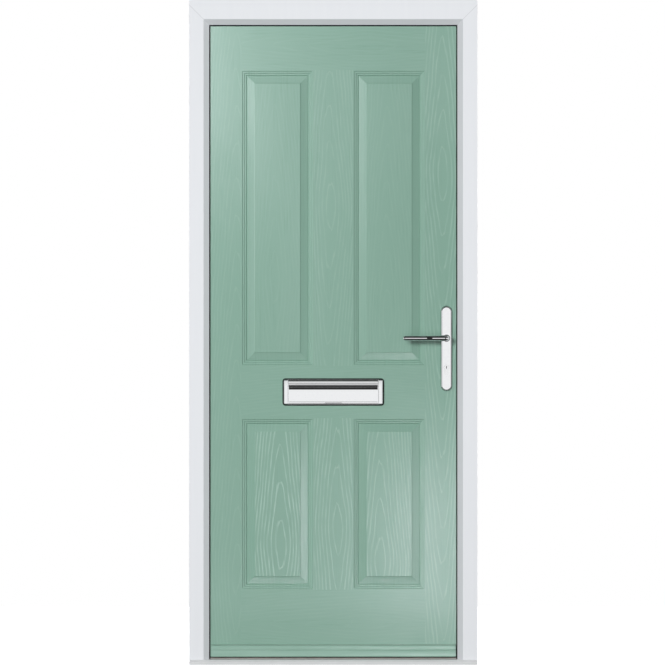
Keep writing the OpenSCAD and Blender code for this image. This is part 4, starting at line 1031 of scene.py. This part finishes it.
ground = bpy.data.meshes.new("floor")
corners = [(-FLOOR_X, FLOOR_FRONT), (FLOOR_X, FLOOR_FRONT), (FLOOR_X, FLOOR_BACK), (-FLOOR_X, FLOOR_BACK)]
ground.from_pydata([(x, y, FLOOR_Z) for x, y in corners], [], [(0, 1, 2, 3)])
ground.materials.append(pale_floor())
floor = bpy.data.objects.new("floor", ground)
bpy.context.scene.collection.objects.link(floor)
floor.visible_diffuse = floor.visible_glossy = False
floor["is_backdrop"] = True
print("floor:", 2 * FLOOR_X, "by", FLOOR_BACK - FLOOR_FRONT, "metres")

# %% [markdown]
# ## World
#
# Chrome has hardly a colour of its own and shows what stands round it. In a photographer's tent that is
# white cloth with dark gaps between its sheets. A picture of a real room would do as well, but the gaps
# are easier to place as a formula: the world is white to the camera, a faint grey for soft light, and
# a bright level band with two dark gaps for everything that mirrors.

# %% World
SOFT_GREY, SIDE_GREY, FRONT_WHITE = 0.05, 0.03, 0.97
BAND_DROP = 0.08                # how far below eye height the bright band's middle lies
GAP_MIDDLE = 0.51               # how far to the side a dark gap's middle lies


def studio_world():
    """White to the eye, an even grey for soft light, and a bright level band for what shines.

    The band runs all round just below eye height, with a dark gap between front and side, so polished
    pieces show white flats and black edges as they do in a studio tent. A direction is in the band where
    its Z is close to -BAND_DROP, and in a gap where its X, either way, is close to GAP_MIDDLE.
    """
    world = bpy.data.worlds.new("studio")
    world.use_nodes = True
    tree = world.node_tree

    def node(kind, inputs, **settings):
        made = tree.nodes.new("ShaderNode" + kind)
        for key, value in settings.items():
            setattr(made, key, value)
        for key, value in inputs.items():
            if isinstance(value, bpy.types.NodeSocket):
                tree.links.new(value, made.inputs[key])
            else:
                made.inputs[key].default_value = value
        return made.outputs[0]

    def math_node(operation, a, b=0.0):
        return node("Math", {0: a, 1: b}, operation=operation)

    def fade(value, start, stop):
        inputs = {0: value, 1: start, 2: stop, 3: 0.0, 4: 1.0}
        return node("MapRange", inputs, interpolation_type="SMOOTHSTEP")

    def glow(strength):
        return node("Background", {"Color": (1.0, 1.0, 1.0, 1.0), "Strength": strength})

    way = tree.nodes.new("ShaderNodeSeparateXYZ")
    tree.links.new(tree.nodes.new("ShaderNodeTexCoord").outputs["Generated"], way.inputs[0])
    level = fade(math_node("ABSOLUTE", math_node("ADD", way.outputs[2], BAND_DROP)), 0.34, 0.17)
    from_gap = math_node("SUBTRACT", math_node("ABSOLUTE", way.outputs[0]), GAP_MIDDLE)
    beside = fade(math_node("ABSOLUTE", from_gap), 0.10, 0.18)
    share = math_node("MULTIPLY", level, beside)
    shine = math_node("ADD", math_node("MULTIPLY", share, FRONT_WHITE - SIDE_GREY), SIDE_GREY)
    ray = tree.nodes.new("ShaderNodeLightPath").outputs
    mixed = node("MixShader", {0: ray["Is Glossy Ray"], 1: glow(SOFT_GREY), 2: glow(shine)})
    mixed = node("MixShader", {0: ray["Is Camera Ray"], 1: mixed, 2: glow(1.0)})
    tree.links.new(mixed, tree.nodes["World Output"].inputs["Surface"])
    return world


bpy.context.scene.world = studio_world()
print("world:", bpy.context.scene.world.name)

# %% [markdown]
# ## Lights
#
# One wide lamp in front lights everything but the leaf's outer face. That has a lamp of its own to the
# upper left, so that the steps of its moulding fall into light and shade. A low lamp fills in near the
# ground, and two lamps behind serve views of the inside. None of these five shows in a mirror. The satin
# paint's gleam comes from other lamps, which the paint mirrors and which light nothing: some stand before
# the face, some to one side, where the slopes of the panels catch them, and one lies at the floor for the
# slopes that look down. A single bright window would gleam too, but in one place only.

# %% Lights
DOOR_MIDDLE = (0.0, 0.0, 1.05)
SHEEN_TINT = (1.0, 0.84, 0.97)
GLOW_SPREAD = 24.0              # degrees over which the lamp at the floor shines
GLOW_AIM = (0.0, 0.0, 0.27)


def soft_light(name, place, aim, width, height, power, hidden, lit=()):
    """A rectangular lamp at a place, turned to face a point, hidden from one kind of ray.

    With lit, it lights these pieces only.
    """
    lamp = bpy.data.lights.new(name, "AREA")
    lamp.shape = "RECTANGLE"
    lamp.size, lamp.size_y = width, height
    lamp.energy = power
    made = bpy.data.objects.new(name, lamp)
    bpy.context.scene.collection.objects.link(made)
    made.location = place
    away = np.asarray(place, float) - np.asarray(aim, float)
    flat = math.hypot(away[0], away[1])
    made.rotation_euler = (math.atan2(flat, away[2]), 0.0, math.atan2(away[1], away[0]) + math.pi / 2)
    made.visible_camera = False
    setattr(made, "visible_" + hidden, False)
    if lit:
        made.light_linking.receiver_collection = bpy.data.collections.new(name)
        for one in lit:
            made.light_linking.receiver_collection.objects.link(one)
    return made


painted = (outer_face, weather_bar)
for name, place, width, height, power in (
        ("upper_left_sheen", (-0.46, -1.5, 1.95), 0.34, 0.90, 5.6),
        ("upper_veil", (-0.22, -1.5, 1.85), 0.60, 0.55, 2.0),
        ("top_sheen", (-0.35, -1.5, 2.62), 1.20, 0.50, 4.4),
        ("far_left_sheen", (-2.10, -1.5, 1.75), 1.60, 1.40, 64.0),
        ("left_edge_sheen", (-0.57, -0.6, 1.95), 0.30, 0.50, 2.4),
        ("middle_strip", (-0.10, -0.6, 1.25), 0.06, 0.60, 0.32),
        ("right_top_sheen", (0.43, -1.5, 1.95), 0.20, 0.40, 0.9),
        ("lower_right_sheen", (1.55, -1.5, 0.30), 2.50, 0.54, 17.0),
        ("bottom_sheen", (0.45, -1.5, 0.11), 0.70, 0.20, 1.3),
        ("right_strip", (0.33, -1.1, 0.36), 0.13, 0.56, 2.6)):
    sheen = soft_light(name, place, (place[0], 0.0, place[2]), width, height, power, "diffuse", painted)
    sheen.data.color = SHEEN_TINT
floor_glow = soft_light("floor_glow", (0.0, -0.6, 0.03), GLOW_AIM, 0.8, 0.05, 0.06, "diffuse", painted)
floor_glow.data.color = SHEEN_TINT
floor_glow.data.spread = math.radians(GLOW_SPREAD)
front_light = soft_light("front_light", (-0.35, -8.3, 2.5), DOOR_MIDDLE, 2.6, 2.6, 640.0, "glossy")
spared = bpy.data.collections.new("spared_by_front_light")
spared.objects.link(outer_face)
spared.collection_objects[0].light_linking.link_state = "EXCLUDE"
front_light.light_linking.receiver_collection = spared
soft_light("leaf_light", (-3.2, -7.6, 2.9), DOOR_MIDDLE, 2.6, 2.6, 684.0, "glossy", (outer_face,))
soft_light("low_fill", (-0.4, -3.0, 0.15), (-0.15, 0.0, 0.35), 1.0, 1.0, 11.0, "glossy")
for name, x in (("back_light_left", -5.5), ("back_light_right", 5.5)):
    soft_light(name, (x, 3.4, 2.6), DOOR_MIDDLE, 2.0, 2.0, 300.0, "glossy")
print("lights:", len(bpy.data.lights))

# %% [markdown]
# ## Camera
#
# A product picture keeps upright lines upright. The camera therefore stands far off, square to the door
# and at half its height, and a long lens brings the door up to the full picture. A camera without
# perspective would come close, but it would hide the little that is seen of the frame's depth.

# %% Camera
EYE_PLACE = (-0.0024, -12.035, 1.049)
LENS, SENSOR = 205.8, 36.0      # millimetres

camera = bpy.data.cameras.new("camera")
camera.lens = LENS
camera.sensor_width = SENSOR
camera.clip_end = 60.0
eye = bpy.data.objects.new("camera", camera)
bpy.context.scene.collection.objects.link(eye)
eye.location = EYE_PLACE
eye.rotation_euler = (math.pi / 2, 0.0, 0.0)
bpy.context.scene.camera = eye
bpy.context.scene.view_settings.view_transform = "Standard"
print("camera at", tuple(round(v, 3) for v in eye.location))

# %% [markdown]
# ## Sizes and finish
#
# Last, the box round the dressed door is set beside the box round its solids, and both are printed.

# %% Sizes and finish
bpy.context.view_layer.update()
both = {"cad": cad_box, "visual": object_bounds()}
both = {key: [[float(v) for v in corner] for corner in corners] for key, corners in both.items()}
print(both)
